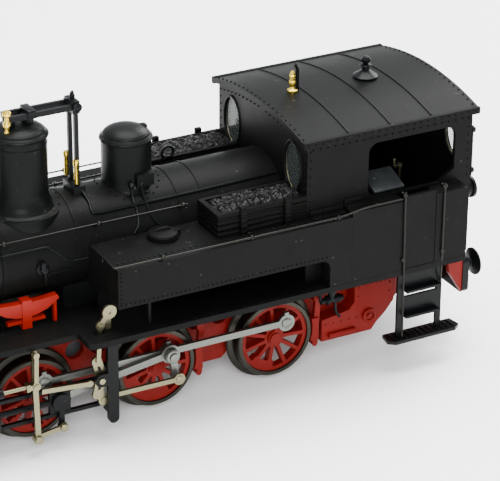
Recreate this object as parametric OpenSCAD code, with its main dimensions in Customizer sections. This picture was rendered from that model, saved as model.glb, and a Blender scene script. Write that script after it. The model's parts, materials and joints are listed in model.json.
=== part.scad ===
// Small six-coupled side-tank steam locomotive, a scale model in millimetres.
// Drawing frame: x forward from the middle axle, y to the left, z up from the rail head.
// on_rail() moves the drawing to the part's own frame, which stands on the wheel flanges.

/* [Running gear] */
// Distance between neighbouring axles
axle_gap = 21.9; // [20.5:0.1:22.5]
// Radius of the wheel tread
tread_r = 6.9; // [6.5:0.05:7.2]
// Height of the wheel flange below the rail head
flange_h = 1.1; // [0.8:0.05:1.3]
// Width of one flange
flange_w = 0.8; // [0.6:0.05:1.0]
// Distance from the track centre to the back of a tyre
tyre_back_y = 7.2; // [7.1:0.05:7.3]
// Width of a tyre
tyre_w = 2.8; // [2.4:0.1:2.9]
// Radial thickness of a tyre
tyre_t = 0.75; // [0.6:0.05:1.0]
// Spokes in a wheel
spokes = 11; // [9:1:13]
// Radius of the axles
axle_r = 1.25; // [1:0.05:1.5]
// Crank radius, half the piston stroke
crank_r = 3.4; // [3:0.1:3.7]
// Rest angle of the left cranks, measured from forward towards up
crank_angle = 117; // [0:1:359]
// Radius of the crank pins
pin_r = 0.6; // [0.5:0.05:0.7]
// Running clearance round a pin or shaft
run_fit = 0.05; // [0.02:0.01:0.1]

/* [Rods and valve gear] */
// Thickness of the rods
rod_t = 0.65; // [0.5:0.05:0.7]
// Height of a coupling rod's web
coupling_web = 1.1; // [0.8:0.1:1.5]
// Height of a main rod's web
main_web = 1.2; // [0.8:0.1:1.5]
// Distance from the middle crank pin forward to the crosshead pin
crosshead_run = 20.05; // [19.5:0.05:20.5]
// Length of an eccentric rod between its pins
eccentric_len = 13.75; // [13.6:0.05:13.9]
// Height of the valve spindle above the rail
spindle_z = 11.95; // [11.6:0.05:12.3]
// Height of the combination lever's lower pin
lever_low_z = 2.2; // [1.8:0.1:2.6]
// Place of the combination lever, forward of the middle axle
lever_x = 23.5; // [23.2:0.1:24]
// Place of the expansion link's pivot, forward of the middle axle
link_x = 12.5; // [12.3:0.1:12.8]
// Height of the expansion link's pivot
link_z = 10.3; // [10:0.1:10.6]

/* [Cylinders] */
// Rear face of the cylinders, forward of the middle axle
cylinder_rear_x = 29.6; // [29.4:0.1:30.5]
// Length of a cylinder with its covers
cylinder_len = 9.2; // [8:0.1:10]
// Outer radius of a cylinder
cylinder_r = 3; // [2.6:0.1:3.1]
// Distance from the track centre to a cylinder's axis
cylinder_y = 12.45; // [12.3:0.05:12.8]

/* [Frame and running board] */
// Front face of the front buffer beam
beam_front_x = 43; // [42:0.5:46]
// Rear face of the rear buffer beam
beam_rear_x = -57.6; // [-59:0.2:-57.4]
// Height of the running board's top
board_z = 18.9; // [18.6:0.1:19.4]
// Thickness of the running board's edge
board_t = 1; // [0.8:0.1:1.3]
// Half width of the running board and of the tanks
tank_y = 18.4; // [18:0.1:19]
// Half width of the narrow front part of the running board
front_board_y = 14.1; // [13.9:0.1:15]
// Where the running board narrows, forward of the middle axle
board_step_x = 15.6; // [15.4:0.2:17]
// Outer face of a frame plate, from the track centre
frame_y = 6.7; // [6.3:0.1:6.8]
// Thickness of a frame plate
frame_t = 1.1; // [0.9:0.1:1.4]
// Radius of a buffer head
buffer_r = 2.4; // [2:0.1:2.8]
// Distance from the track centre to a buffer
buffer_y = 10; // [9.5:0.1:10.1]
// Height of the buffers above the rail
buffer_z = 12.4; // [12:0.1:12.6]
// How far a buffer stands out of its beam
buffer_len = 7; // [6:0.2:8]

/* [Boiler] */
// Outer radius of the boiler cladding
boiler_r = 7.9; // [7.5:0.1:8.1]
// Height of the boiler's axis above the rail
boiler_z = 29; // [28.5:0.1:29.5]
// Front end of the boiler barrel, where the smokebox starts
barrel_front_x = 25.6; // [25:0.1:26]
// Radius of the smokebox
smokebox_r = 8.2; // [8:0.1:8.6]
// Front end of the smokebox
smokebox_front_x = 39.2; // [38.5:0.1:40]
// Place of the chimney, forward of the middle axle
chimney_x = 33.6; // [32:0.1:35]
// Height of the chimney's top
chimney_top_z = 49.6; // [47:0.1:51]
// Place of the steam dome, forward of the middle axle
steam_dome_x = 18.6; // [18.4:0.1:19]
// Radius of the steam dome
steam_dome_r = 4.4; // [4:0.1:4.7]
// Height of the steam dome's shoulder
steam_dome_z = 48.6; // [46:0.1:49]
// Place of the sand dome, forward of the middle axle
sand_dome_x = 0.2; // [-1:0.1:1]
// Radius of the sand dome
sand_dome_r = 4.05; // [3.6:0.05:4.2]
// Height of the sand dome's shoulder
sand_dome_z = 44.4; // [42:0.1:46]
// Place of the safety valve's column, forward of the middle axle
column_x = 9.4; // [9:0.1:10]
// Height of the safety valve's levers
lever_z = 51; // [50.8:0.1:51.6]

/* [Side tanks] */
// Front end of the side tanks
tank_front_x = 10.6; // [10:0.1:12]
// Rear end of the side tanks, at the cab's lower side
tank_rear_x = -31.3; // [-32:0.1:-31]
// Height of the tank top
tank_top_z = 30.6; // [30:0.1:31]
// Height of the tank bottom
tank_bottom_z = 23.9; // [23.5:0.1:24.5]
// Place where the tank comes down to the running board
tank_leg_x = -27.3; // [-28:0.1:-26]
// Front end of the coal boxes on the tanks
coal_box_front_x = -8.4; // [-10:0.1:-8]
// Height of a coal box
coal_box_h = 4.1; // [3.5:0.1:4.5]
// Inner and outer side of a coal box, from the track centre
coal_box_y = [8.4, 15.3]; // [8:0.1:16]
// Thickness of the coal box planks
plank_t = 0.7; // [0.5:0.1:0.9]

/* [Cab] */
// Outside of the cab's front wall
cab_front_x = -24.5; // [-25:0.1:-24.2]
// Outside of the cab's rear wall
cab_rear_x = -55.6; // [-56:0.1:-55]
// Half width of the upper cab, outside
cab_y = 15.2; // [14.8:0.1:15.4]
// Thickness of the cab's walls
wall_t = 0.7; // [0.5:0.05:0.9]
// Rear end of the wide lower cab side
skirt_rear_x = -53.3; // [-54:0.1:-53]
// Height of the ledge over the wide lower cab side
ledge_z = 31.4; // [31:0.1:31.8]
// Front and rear edge of the cab's side opening
opening_x = [-52.4, -35.9]; // [-53:0.1:-35]
// Lower and upper edge of the cab's side opening
opening_z = [31.7, 41.3]; // [31.6:0.1:42]
// Front and rear edge of the cab door
door_x = [-47.2, -41.2]; // [-48:0.1:-41]
// Height of the cab door's top edge
door_top_z = 32.1; // [31.9:0.1:32.4]
// Half width of the roof
roof_y = 16; // [15.8:0.1:16.6]
// Height of the roof's eaves, underneath
eave_z = 43; // [42.6:0.1:43.6]
// Rise of the roof from the eaves to the crown
roof_rise = 2.2; // [2:0.1:3.5]
// Thickness of the roof
roof_t = 0.8; // [0.6:0.05:1]
// Front and rear end of the roof
roof_x = [-56.5, -23.5]; // [-58:0.1:-23]
// Half width of an oval window
oval_w = 2.7; // [2.4:0.1:3]
// Half height of an oval window
oval_h = 4.25; // [3.8:0.05:4.4]
// Place of an oval window from the track centre
oval_y = 10.4; // [10.2:0.1:10.6]
// Height of an oval window's centre
oval_z = 38; // [37.6:0.1:38.2]
// Thickness of the window glazing
glass_t = 0.3; // [0.2:0.05:0.4]

/* [Steps] */
// Front and rear hanger of the cab steps
step_x = [-49.4, -41.8]; // [-50:0.1:-41]
// Height of the lowest step
step_low_z = 5.6; // [5:0.1:6.5]

/* [Hidden] */
$fn = 64;
// gap between two pieces that are seated on each other along a curve
seat = 0.04;
axle_z = tread_r;
axles = [-axle_gap, 0, axle_gap];
tyre_face_y = tyre_back_y + tyre_w;
rim_r = tread_r - tyre_t;
pin_x = crank_r * cos(crank_angle);
pin_z = crank_r * sin(crank_angle);
// right cranks trail the left ones by a quarter turn
right_pin_x = crank_r * cos(crank_angle + 90);
right_pin_z = crank_r * sin(crank_angle + 90);
// layers of the running gear, outwards from the wheels
coupling_y = tyre_face_y + 0.45;
main_y = coupling_y + rod_t + 0.2;
return_y = main_y + rod_t + 0.15;
slide_w = 0.7;
slide_y = return_y;
boss_y = slide_y + slide_w;
eccentric_y = boss_y + 0.85;
eccentric_t = 0.5;
gear_y = eccentric_y + eccentric_t + 0.15;
gear_t = 0.5;
bracket_y = gear_y + gear_t + 0.2;
return_drop = [-0.5, -3.65];
link_eye = [-0.8, -3.9];
union_len = 4.7;
piston_rod_len = 13.2;
side_pin_end = coupling_y + rod_t + 0.05;
slide_t = 0.6;
slide_gap = 2;
crosshead_z = axle_z;
lever_len = spindle_z - lever_low_z;
board_low_z = board_z - board_t;
beam_t = 1.2;
beam_half = 13.3;
beam_z = [8.6, 15.2];
beam_rear_front_x = beam_rear_x + beam_t;
origin_x = (beam_front_x + buffer_len + beam_rear_x - (buffer_len - 3.6)) / 2;
boiler_top_z = boiler_z + boiler_r;
cab_in_y = cab_y - wall_t;
floor_t = 0.8;
skirt_t = 0.7;
roof_r = (roof_rise * roof_rise + roof_y * roof_y) / (2 * roof_rise);
roof_c_z = eave_z + roof_rise - roof_r;

// ---- helpers ----

// the drawing, moved to the part's own frame
module on_rail() {
    translate([-origin_x, 0, flange_h]) children();
}

// the same piece on the left and on the right
module both() {
    children();
    mirror([0, 1, 0]) children();
}

// a cylinder along x
module rod_x(r, x0, x1, y, z) {
    translate([x0, y, z]) rotate([0, 90, 0]) cylinder(r = r, h = x1 - x0);
}

// a cylinder along y
module rod_y(r, y0, y1, x, z) {
    translate([x, y0, z]) rotate([-90, 0, 0]) cylinder(r = r, h = y1 - y0);
}

// a side view outline (x, z) given its thickness along y
module plate_y(y0, y1) {
    translate([0, y1, 0]) rotate([90, 0, 0]) linear_extrude(y1 - y0) children();
}

// a front view outline (y, z) given its thickness along x
module plate_x(x0, x1) {
    translate([x0, 0, 0]) rotate([90, 0, 90]) linear_extrude(x1 - x0) children();
}

// a flat bar between two points of a side view
module bar_2d(a, b, w) {
    d = b - a;
    translate(a) rotate(atan2(d[1], d[0])) translate([0, -w / 2]) square([norm(d), w]);
}

// a rectangle with round corners
module round_rect(x0, x1, z0, z1, r) {
    translate([x0 + r, z0]) square([x1 - x0 - 2 * r, z1 - z0]);
    translate([x0, z0 + r]) square([x1 - x0, z1 - z0 - 2 * r]);
    for (x = [x0 + r, x1 - r], z = [z0 + r, z1 - r]) translate([x, z]) circle(r);
}

// an oval window, larger by grow all round
module oval(grow) {
    polygon([for (i = [0:39]) [(oval_w + grow) * cos(9 * i), (oval_h + grow) * sin(9 * i)]]);
}

// ---- frame ----

// one frame plate, side view
module frame_outline() {
    difference() {
        polygon([
            [beam_front_x - beam_t, beam_z[0] + 1], [beam_front_x - beam_t, board_low_z],
            [beam_rear_front_x, board_low_z], [beam_rear_front_x, beam_z[0]],
            [-48, beam_z[0]], [-46, 6.4], [-41.5, 4.2], [-32.5, 3.2], [-28.5, 4.8],
            [-14.5, 4.8], [-13.5, 3.8], [-9, 3.8], [-7.5, 4.8], [7.5, 4.8], [9, 4.4],
            [13, 4.4], [14.5, 4.8], [29.5, 4.8], [33, beam_z[0] + 1]]);
        for (x = [-8.7, -13.1, 8.9, 13.1]) translate([x, 11.9]) circle(1.6);
        for (x = [-31.3, -35.4]) translate([x, 6.1]) square([1.5, 1.5]);
        for (x = axles) translate([x, axle_z]) circle(axle_r + run_fit);
    }
}

module main_frame() {
    color("firebrick") {
        both() plate_y(frame_y - frame_t, frame_y) frame_outline();
        // stretchers between the plates
        for (x = [[35, 39.5], [14.5, 17.5], [-17.5, -15.5], [-53, -49]])
            translate([x[0], -(frame_y - frame_t), 9.7])
                cube([x[1] - x[0], 2 * (frame_y - frame_t), board_low_z - 9.7]);
        // outer firebox plates behind the rear wheels
        both() plate_y(frame_y, frame_y + 2.6) polygon([
            [-45.2, board_low_z], [-45.2, 8.4], [-43.6, 6.4], [-41.9, 4.9], [-40.9, 3.6], [-31.2, 3.6],
            [-31.2, 7.6], [-36.4, 8.4], [-37.5, 9.6], [-37.5, board_low_z]]);
        // gussets to the rear beam
        both() plate_y(beam_half - 1.2, beam_half - 0.2)
            polygon([[beam_rear_front_x, 8.8], [beam_rear_front_x, board_low_z],
                [beam_rear_front_x + 3.4, board_low_z], [beam_rear_front_x + 2.6, 13]]);
        both() translate([beam_rear_front_x, frame_y, board_low_z - 1.2])
            cube([1.2, beam_half - 0.7 - frame_y, 1.2]);
    }
}

module motor_block() {
    w = frame_y - frame_t - 0.1;
    color("dimgray") translate([-15.4, -w, axle_z + axle_r + 0.6])
        cube([29.8, 2 * w, board_low_z - axle_z - axle_r - 0.6]);
}

// running board seen from above
module board_outline() {
    r = 1.2;
    difference() {
        union() {
            translate([skirt_rear_x, -tank_y + r]) square([board_step_x - skirt_rear_x, 2 * (tank_y - r)]);
            translate([skirt_rear_x, -tank_y]) square([board_step_x - r - skirt_rear_x, 2 * tank_y]);
            for (s = [-1, 1]) translate([board_step_x - r, s * (tank_y - r)]) circle(r);
            translate([board_step_x - 1, -front_board_y])
                square([beam_front_x - board_step_x + 1, 2 * front_board_y]);
            translate([cab_rear_x, -cab_y]) square([skirt_rear_x - cab_rear_x, 2 * cab_y]);
            translate([beam_rear_x, -11.4]) square([cab_rear_x - beam_rear_x, 22.8]);
        }
        // slots for the lifting links
        for (s = [-1, 1]) translate([link_x - 0.7, s * (gear_y + 0.5) - 0.8]) square([2, 1.6]);
    }
}

module running_board() {
    color("#26292a") translate([0, 0, board_low_z]) linear_extrude(board_t) board_outline();
}

// buffer beam seen from the front
module beam_outline() {
    difference() {
        round_rect(-beam_half, beam_half, beam_z[0], beam_z[1], 1);
        translate([-1.2, 10.4]) square([2.4, 2.4]);
    }
}

module front_buffer_beam() {
    color("firebrick") {
        plate_x(beam_front_x - beam_t, beam_front_x) beam_outline();
        // knees up to the running board
        both() translate([beam_front_x - beam_t, 8.8, beam_z[1]])
            cube([beam_t, 2.4, board_low_z - beam_z[1]]);
    }
}

module rear_buffer_beam() {
    color("#26292a") {
        plate_x(beam_rear_x, beam_rear_front_x) beam_outline();
        both() translate([beam_rear_x, 8.8, beam_z[1]])
            cube([beam_t, 2.4, board_low_z - beam_z[1]]);
    }
}

// one buffer pointing forward from x = 0
module buffer(len) {
    head_t = 0.5;
    rotate([0, 90, 0]) rotate_extrude()
        polygon([[0, 0], [1.7, 0], [1.7, 0.4], [1.25, 0.5], [1.25, len * 0.55], [0.65, len * 0.6],
            [0.65, len - head_t - 0.4], [buffer_r, len - head_t], [buffer_r, len - 0.3], [1.3, len], [0, len]]);
}

module front_buffers() {
    color("#1d1f20") both() translate([beam_front_x, buffer_y, buffer_z]) buffer(buffer_len);
}

module rear_buffers() {
    color("#1d1f20") both() translate([beam_rear_x, buffer_y, buffer_z])
        mirror([1, 0, 0]) buffer(buffer_len - 3.6);
}

// draw hooks in the beams' square holes
module draw_hooks() {
    color("#1d1f20") for (e = [[beam_front_x, 1], [beam_rear_x, -1]])
        translate([e[0], 0, 11.6]) mirror([e[1] < 0 ? 1 : 0, 0, 0]) {
            translate([0, -1.6, -1.6]) cube([0.4, 3.2, 3.2]);
            plate_y(-0.45, 0.45) difference() {
                union() {
                    translate([-beam_t, -0.5]) square([3, 1]);
                    translate([2.1, 0.3]) circle(1.1);
                }
                translate([2.3, 0.6]) circle(0.5);
                translate([2.2, 0.6]) square([0.7, 1]);
            }
        }
}

// ---- cylinders and motion ----

module cylinders() {
    x1 = cylinder_rear_x + cylinder_len;
    y0 = front_board_y - 5;
    color("#26292a") both() difference() {
        union() {
            rod_x(cylinder_r, cylinder_rear_x + 0.6, x1 - 0.6, cylinder_y, axle_z);
            rod_x(cylinder_r - 0.35, cylinder_rear_x, cylinder_rear_x + 0.6, cylinder_y, axle_z);
            rod_x(cylinder_r - 0.35, x1 - 0.6, x1, cylinder_y, axle_z);
            rod_x(0.9, x1, x1 + 0.5, cylinder_y, axle_z);
            // steam chest over the cylinder, and the saddle to the frame
            translate([cylinder_rear_x + 0.9, y0, axle_z]) cube([cylinder_len - 1.8, cylinder_y - y0, 3]);
            translate([cylinder_rear_x + 0.9, y0 - 0.4, axle_z + 3])
                cube([cylinder_len - 1.8, gear_y + 1.5 - y0, spindle_z + 2 - axle_z - 3]);
            translate([cylinder_rear_x + 1.5, frame_y + seat, spindle_z])
                cube([cylinder_len - 3, y0 - frame_y, board_low_z - spindle_z]);
            rod_x(0.85, cylinder_rear_x - 0.6, cylinder_rear_x + 1, gear_y + gear_t / 2, spindle_z);
        }
        // bores for the piston rod and the valve spindle
        rod_x(0.5 + run_fit, cylinder_rear_x - 1, cylinder_rear_x + 8.2, slide_y + slide_w / 2, axle_z);
        rod_x(0.35 + run_fit, cylinder_rear_x - 1, cylinder_rear_x + 3, gear_y + gear_t / 2, spindle_z);
    }
}

module slide_bars() {
    x0 = link_x - 2.9;
    color("#1d1f20") both() for (s = [-1, 1])
        translate([x0, slide_y, crosshead_z + s * (slide_gap + slide_t / 2) - slide_t / 2])
            cube([cylinder_rear_x - x0, slide_w, slide_t]);
}

module motion_brackets() {
    x0 = link_x - 2.9;
    w = 1.8;
    top = crosshead_z + slide_gap + slide_t;
    low = crosshead_z - slide_gap - slide_t;
    color("#1d1f20") both() {
        plate_y(bracket_y, bracket_y + 0.8) {
            translate([x0 + w / 2, low - 1]) circle(w / 2);
            translate([x0, low - 1]) square([w, board_low_z - low + 1]);
            translate([x0, link_z - 0.9]) square([link_x - x0, 2.2]);
            translate([link_x, link_z + 0.2]) circle(1.1);
        }
        // feet that carry the ends of the slide bars
        translate([x0, slide_y, low - 1]) cube([1.1, bracket_y - slide_y, 1]);
        translate([x0, slide_y, top + 1.5]) cube([0.7, bracket_y - slide_y, 0.6]);
        translate([x0, slide_y, top]) cube([1.1, slide_w, 2.1]);
    }
}

// curved slotted link, with its lower eye
module link_outline() {
    c = [link_x + 9, link_z + 0.3];
    difference() {
        union() {
            intersection() {
                difference() {
                    translate(c) circle(10);
                    translate(c) circle(8.3);
                }
                translate([link_x - 2, link_z - 2.7]) square([5, 5.9]);
            }
            for (a = [-19.2, 18.6]) translate(c + 9.15 * [-cos(a), -sin(a)]) circle(0.85);
            bar_2d([link_x, link_z - 2.6], [link_x, link_z] + link_eye, 1.5);
            translate([link_x, link_z] + link_eye) circle(1);
        }
        intersection() {
            difference() {
                translate(c) circle(9.4);
                translate(c) circle(8.9);
            }
            translate([link_x - 2, link_z - 1.8]) square([5, 4.2]);
        }
    }
}

// a side view point turned about the origin
function turned(p, a) = [p[0] * cos(a) - p[1] * sin(a), p[0] * sin(a) + p[1] * cos(a)];

// pin of the return crank on a crank pin, and the swing that its rod gives the link
function return_pin(px, pz, turn) = [px, axle_z + pz] + turned(return_drop, turn);
function link_swing(e) = let (p = [link_x, link_z], d = norm(e - p), r = norm(link_eye))
    atan2(e[1] - p[1], e[0] - p[0]) + acos((r * r + d * d - eccentric_len * eccentric_len) / (2 * r * d))
    - atan2(link_eye[1], link_eye[0]);
left_return = return_pin(pin_x, pin_z, 0);
right_return = return_pin(right_pin_x, right_pin_z, 90);
left_swing = link_swing(left_return);
right_swing = link_swing(right_return);

module expansion_link(turn) {
    e = [link_x, link_z] + turned(link_eye, turn);
    plate_y(gear_y, gear_y + gear_t)
        translate([link_x, link_z]) rotate(turn) translate([-link_x, -link_z]) link_outline();
    rod_y(0.6, gear_y + gear_t, bracket_y, link_x - 0.6 * cos(turn), link_z - 0.6 * sin(turn));
    rod_y(0.55, gear_y + gear_t, gear_y + gear_t + 0.15, e[0], e[1]);
}

module expansion_links() {
    color("#c9c6ad") {
        expansion_link(left_swing);
        mirror([0, 1, 0]) expansion_link(right_swing);
        both() rod_y(0.5, bracket_y + 0.8, bracket_y + 1, link_x, link_z + 0.2);
    }
}

// rod from close to the link to close to the combination lever
module radius_rod(gap) {
    a = [link_x + gap, link_z - 0.4];
    b = [lever_x - 1.1, spindle_z - 1.35];
    plate_y(gear_y, gear_y + gear_t) {
        bar_2d(a, b, 0.8);
        translate(a) circle(0.55);
    }
}

module radius_rods() {
    color("#c9c6ad") {
        radius_rod(1.6);
        mirror([0, 1, 0]) radius_rod(2.5);
    }
}

module reversing_levers() {
    eye = [link_x - 1.8, board_z + 3.2];
    knee = [link_x - 0.2, board_z + 1.1];
    low = [link_x + 0.3, link_z + 3.3];
    y0 = gear_y + gear_t;
    color("#c9c6ad") both() {
        plate_y(y0, y0 + 0.45) {
            difference() {
                translate(eye) circle(1.2);
                translate(eye) circle(0.3);
            }
            bar_2d(eye + [0.7, -0.8], knee, 0.9);
            translate(knee) circle(0.75);
            bar_2d(knee, low, 0.7);
        }
        rod_y(0.45, y0 + 0.45, y0 + 0.7, knee[0], knee[1]);
        // reversing shaft, carried by its bracket on the running board
        translate([eye[0] - 0.45, y0 - 0.8, board_z]) cube([0.9, 0.7, eye[1] - board_z]);
        rod_y(0.3, y0 - 1.3, y0 + 0.3, eye[0], eye[1]);
    }
}

// valve spindle with its clevis and the two swinging hangers
module valve_spindles() {
    y0 = gear_y;
    color("#c9c6ad") both() {
        rod_x(0.35, lever_x + 1.2, cylinder_rear_x + 2.6, gear_y + gear_t / 2, spindle_z);
        translate([lever_x + 0.95, y0 - 0.35, spindle_z - 0.6]) cube([0.6, gear_t + 0.7, 1.2]);
        for (y = [y0 - 0.4, y0 + gear_t + 0.05]) plate_y(y, y + 0.35) {
            bar_2d([lever_x + 1.2, spindle_z], [lever_x, spindle_z], 0.8);
            translate([lever_x, spindle_z]) circle(0.75);
            bar_2d([lever_x, spindle_z], [lever_x - 0.2, board_low_z - 0.5], 0.7);
            translate([lever_x - 0.2, board_low_z - 0.5]) circle(0.5);
        }
        rod_y(0.3, y0 - 0.1, y0 + gear_t + 0.1, lever_x, spindle_z);
        rod_y(0.5, y0 + gear_t + 0.4, y0 + gear_t + 0.65, lever_x, spindle_z);
    }
}

// ---- wheels and rods ----

// wheel centre in side view, before its crank
module wheel_disc(weight_half, weight_angle) {
    spoke_w = 0.62;
    circle(1.8);
    difference() {
        circle(rim_r - seat);
        circle(rim_r - 0.75);
    }
    for (i = [0:spokes - 1]) rotate(360 / spokes * (i + 0.5) + weight_angle)
        translate([1, -spoke_w / 2]) square([rim_r - 1.5, spoke_w]);
    // counterweight opposite the crank
    intersection() {
        difference() {
            circle(rim_r - 0.4);
            circle(rim_r - 0.4 - (weight_half > 40 ? 2.1 : 1.5));
        }
        rotate(weight_angle) polygon([[0, 0], [9 * cos(weight_half), -9 * sin(weight_half)],
            [9, 0], [9 * cos(weight_half), 9 * sin(weight_half)]]);
    }
}

// one wheel centre with its crank boss and pin, axle on y
module wheel_centre(px, pz, weight_half, pin_end) {
    a = atan2(pz, px);
    plate_y(tyre_back_y + 1.1, tyre_face_y - 0.35) wheel_disc(weight_half, a + 180);
    plate_y(tyre_back_y + 1.1, tyre_face_y) {
        circle(1.3);
        translate([px, pz]) circle(1.15);
        bar_2d([0, 0], [px, pz], 1.7);
    }
    rod_y(axle_r * 0.8, tyre_face_y, tyre_face_y + 0.3, 0, 0);
    rod_y(pin_r, tyre_face_y, pin_end, px, pz);
}

module wheel_pair(weight_half, pin_end) {
    translate([0, 0, axle_z]) {
        rod_y(axle_r, -(tyre_back_y + 1.2), tyre_back_y + 1.2, 0, 0);
        wheel_centre(pin_x, pin_z, weight_half, pin_end);
        mirror([0, 1, 0]) wheel_centre(right_pin_x, right_pin_z, weight_half, pin_end);
    }
}

// tyre with its flange, axle on y
module tyre() {
    f = flange_h;
    rotate([-90, 0, 0]) rotate_extrude($fn = 128)
        polygon([[rim_r, tyre_back_y], [tread_r + f - 0.3, tyre_back_y], [tread_r + f, tyre_back_y + 0.3],
            [tread_r + f - 0.2, tyre_back_y + flange_w - 0.2], [tread_r + 0.1, tyre_back_y + flange_w],
            [tread_r, tyre_face_y - 0.2], [tread_r - 0.15, tyre_face_y], [rim_r, tyre_face_y]]);
}

module tyre_pair() {
    color("#8f8d86") both() translate([0, 0, axle_z]) tyre();
}

module front_wheels() { color("#b5321f") translate([axle_gap, 0, 0]) wheel_pair(24, side_pin_end); }
module rear_wheels() { color("#b5321f") translate([-axle_gap, 0, 0]) wheel_pair(24, side_pin_end); }
module front_tyres() { translate([axle_gap, 0, 0]) tyre_pair(); }
module middle_tyres() { tyre_pair(); }
module rear_tyres() { translate([-axle_gap, 0, 0]) tyre_pair(); }

// return crank on the end of the middle crank pin, turned so that its own pin trails
module return_crank(px, pz, turn) {
    e = [px, pz] + turned(return_drop, turn);
    plate_y(return_y, return_y + 0.75) {
        bar_2d([px, pz], e, 1.2);
        translate([px, pz]) circle(1.25);
        translate(e) circle(0.8);
    }
    rod_y(0.45, return_y + 0.75, eccentric_y + eccentric_t + 0.05, e[0], e[1]);
}

module middle_wheels() { color("#b5321f") wheel_pair(52, return_y); }

module return_cranks() {
    color("#a9aba3") translate([0, 0, axle_z]) {
        return_crank(pin_x, pin_z, 0);
        mirror([0, 1, 0]) return_crank(right_pin_x, right_pin_z, 90);
    }
}

// coupling rod over the three crank pins
module coupling_rod(px, pz) {
    color("#a9aba3") translate([px, 0, axle_z + pz]) plate_y(coupling_y, coupling_y + rod_t)
        difference() {
            union() {
                translate([-axle_gap, -coupling_web / 2]) square([2 * axle_gap, coupling_web]);
                for (x = axles) translate([x, 0]) circle(1.5);
                for (x = axles) translate([x - 0.35, 1.2]) square([0.7, 0.7]);
            }
            for (x = axles) translate([x, 0]) circle(pin_r + run_fit);
        }
}
module left_coupling_rod() { coupling_rod(pin_x, pin_z); }
module right_coupling_rod() { mirror([0, 1, 0]) coupling_rod(right_pin_x, right_pin_z); }

// main rod from the middle crank pin to the crosshead's height
module main_rod(px, pz) {
    len = crosshead_x(px, pz) - px;
    drop = -pz;
    color("#a9aba3") translate([px, 0, axle_z + pz]) plate_y(main_y, main_y + rod_t)
        difference() {
            union() {
                bar_2d([0, 0], [len, drop], main_web);
                circle(1.6);
                translate([len, drop]) circle(1.05);
            }
            circle(pin_r + run_fit);
            translate([len, drop]) circle(0.4);
        }
}
module left_main_rod() { main_rod(pin_x, pin_z); }
module right_main_rod() { mirror([0, 1, 0]) main_rod(right_pin_x, right_pin_z); }

// eccentric rod from the return crank's pin to below the link
module eccentric_rod(e, swing) {
    run = [link_x, link_z] + turned(link_eye, swing) - e;
    color("#c9c6ad") translate([e[0], 0, e[1]]) plate_y(eccentric_y, eccentric_y + eccentric_t)
        difference() {
            union() {
                bar_2d([0, 0], run, 0.8);
                circle(1);
                translate(run) circle(0.9);
            }
            circle(0.45 + run_fit);
        }
}
module left_eccentric_rod() { eccentric_rod(left_return, left_swing); }
module right_eccentric_rod() { mirror([0, 1, 0]) eccentric_rod(right_return, right_swing); }

// crosshead with its piston rod, and the arm that drives the union link
module crosshead(x) {
    half = slide_gap - 0.1;
    arm_z = lever_low_z + 0.7;
    color("#1d1f20") {
        translate([x - 1.8, slide_y, crosshead_z - half]) cube([3.6, slide_w, 2 * half]);
        rod_y(1.5, boss_y, boss_y + 0.6, x, crosshead_z);
        plate_y(boss_y + 0.2, boss_y + 0.6) {
            bar_2d([x, crosshead_z], [x, arm_z], 0.9);
            translate([x, arm_z]) circle(0.7);
        }
        rod_x(0.5, x + 1.8, x + piston_rod_len, slide_y + slide_w / 2, crosshead_z);
    }
}
function crosshead_x(px, pz) = px + sqrt(crosshead_run * crosshead_run + pin_z * pin_z - pz * pz);
left_cross_x = crosshead_x(pin_x, pin_z);
right_cross_x = crosshead_x(right_pin_x, right_pin_z);
module left_crosshead() { crosshead(left_cross_x); }
module right_crosshead() { mirror([0, 1, 0]) crosshead(right_cross_x); }

// lower pin of the combination lever for a crosshead at x
function lever_low(x) = [x + union_len, spindle_z - sqrt(lever_len * lever_len
    - (x + union_len - lever_x) * (x + union_len - lever_x))];

// combination lever hanging from the valve spindle's pin
module combination_lever(x) {
    low = lever_low(x);
    color("#c9c6ad") {
        plate_y(gear_y, gear_y + gear_t) difference() {
            union() {
                bar_2d([lever_x, spindle_z], low, 0.9);
                translate([lever_x, spindle_z]) circle(0.8);
                translate(low) circle(0.85);
            }
            translate([lever_x, spindle_z]) circle(0.3 + run_fit);
        }
        rod_y(0.35, eccentric_y - 0.05, gear_y, low[0], low[1]);
        rod_y(0.4, gear_y + gear_t, gear_y + gear_t + 0.25, low[0], low[1]);
    }
}
module left_combination_lever() { combination_lever(left_cross_x); }
module right_combination_lever() { mirror([0, 1, 0]) combination_lever(right_cross_x); }

// union link from the crosshead's arm to the combination lever
module union_link(x) {
    low = lever_low(x);
    arm = [x, lever_low_z + 0.7];
    color("#c9c6ad") {
        plate_y(eccentric_y, eccentric_y + eccentric_t) difference() {
            union() {
                bar_2d(arm, low, 0.8);
                translate(arm) circle(0.75);
                translate(low) circle(0.75);
            }
            translate(low) circle(0.35 + run_fit);
        }
        rod_y(0.4, eccentric_y + eccentric_t, eccentric_y + eccentric_t + 0.25, arm[0], arm[1]);
    }
}
module left_union_link() { union_link(left_cross_x); }
module right_union_link() { mirror([0, 1, 0]) union_link(right_cross_x); }

// ---- brakes and springs ----

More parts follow.
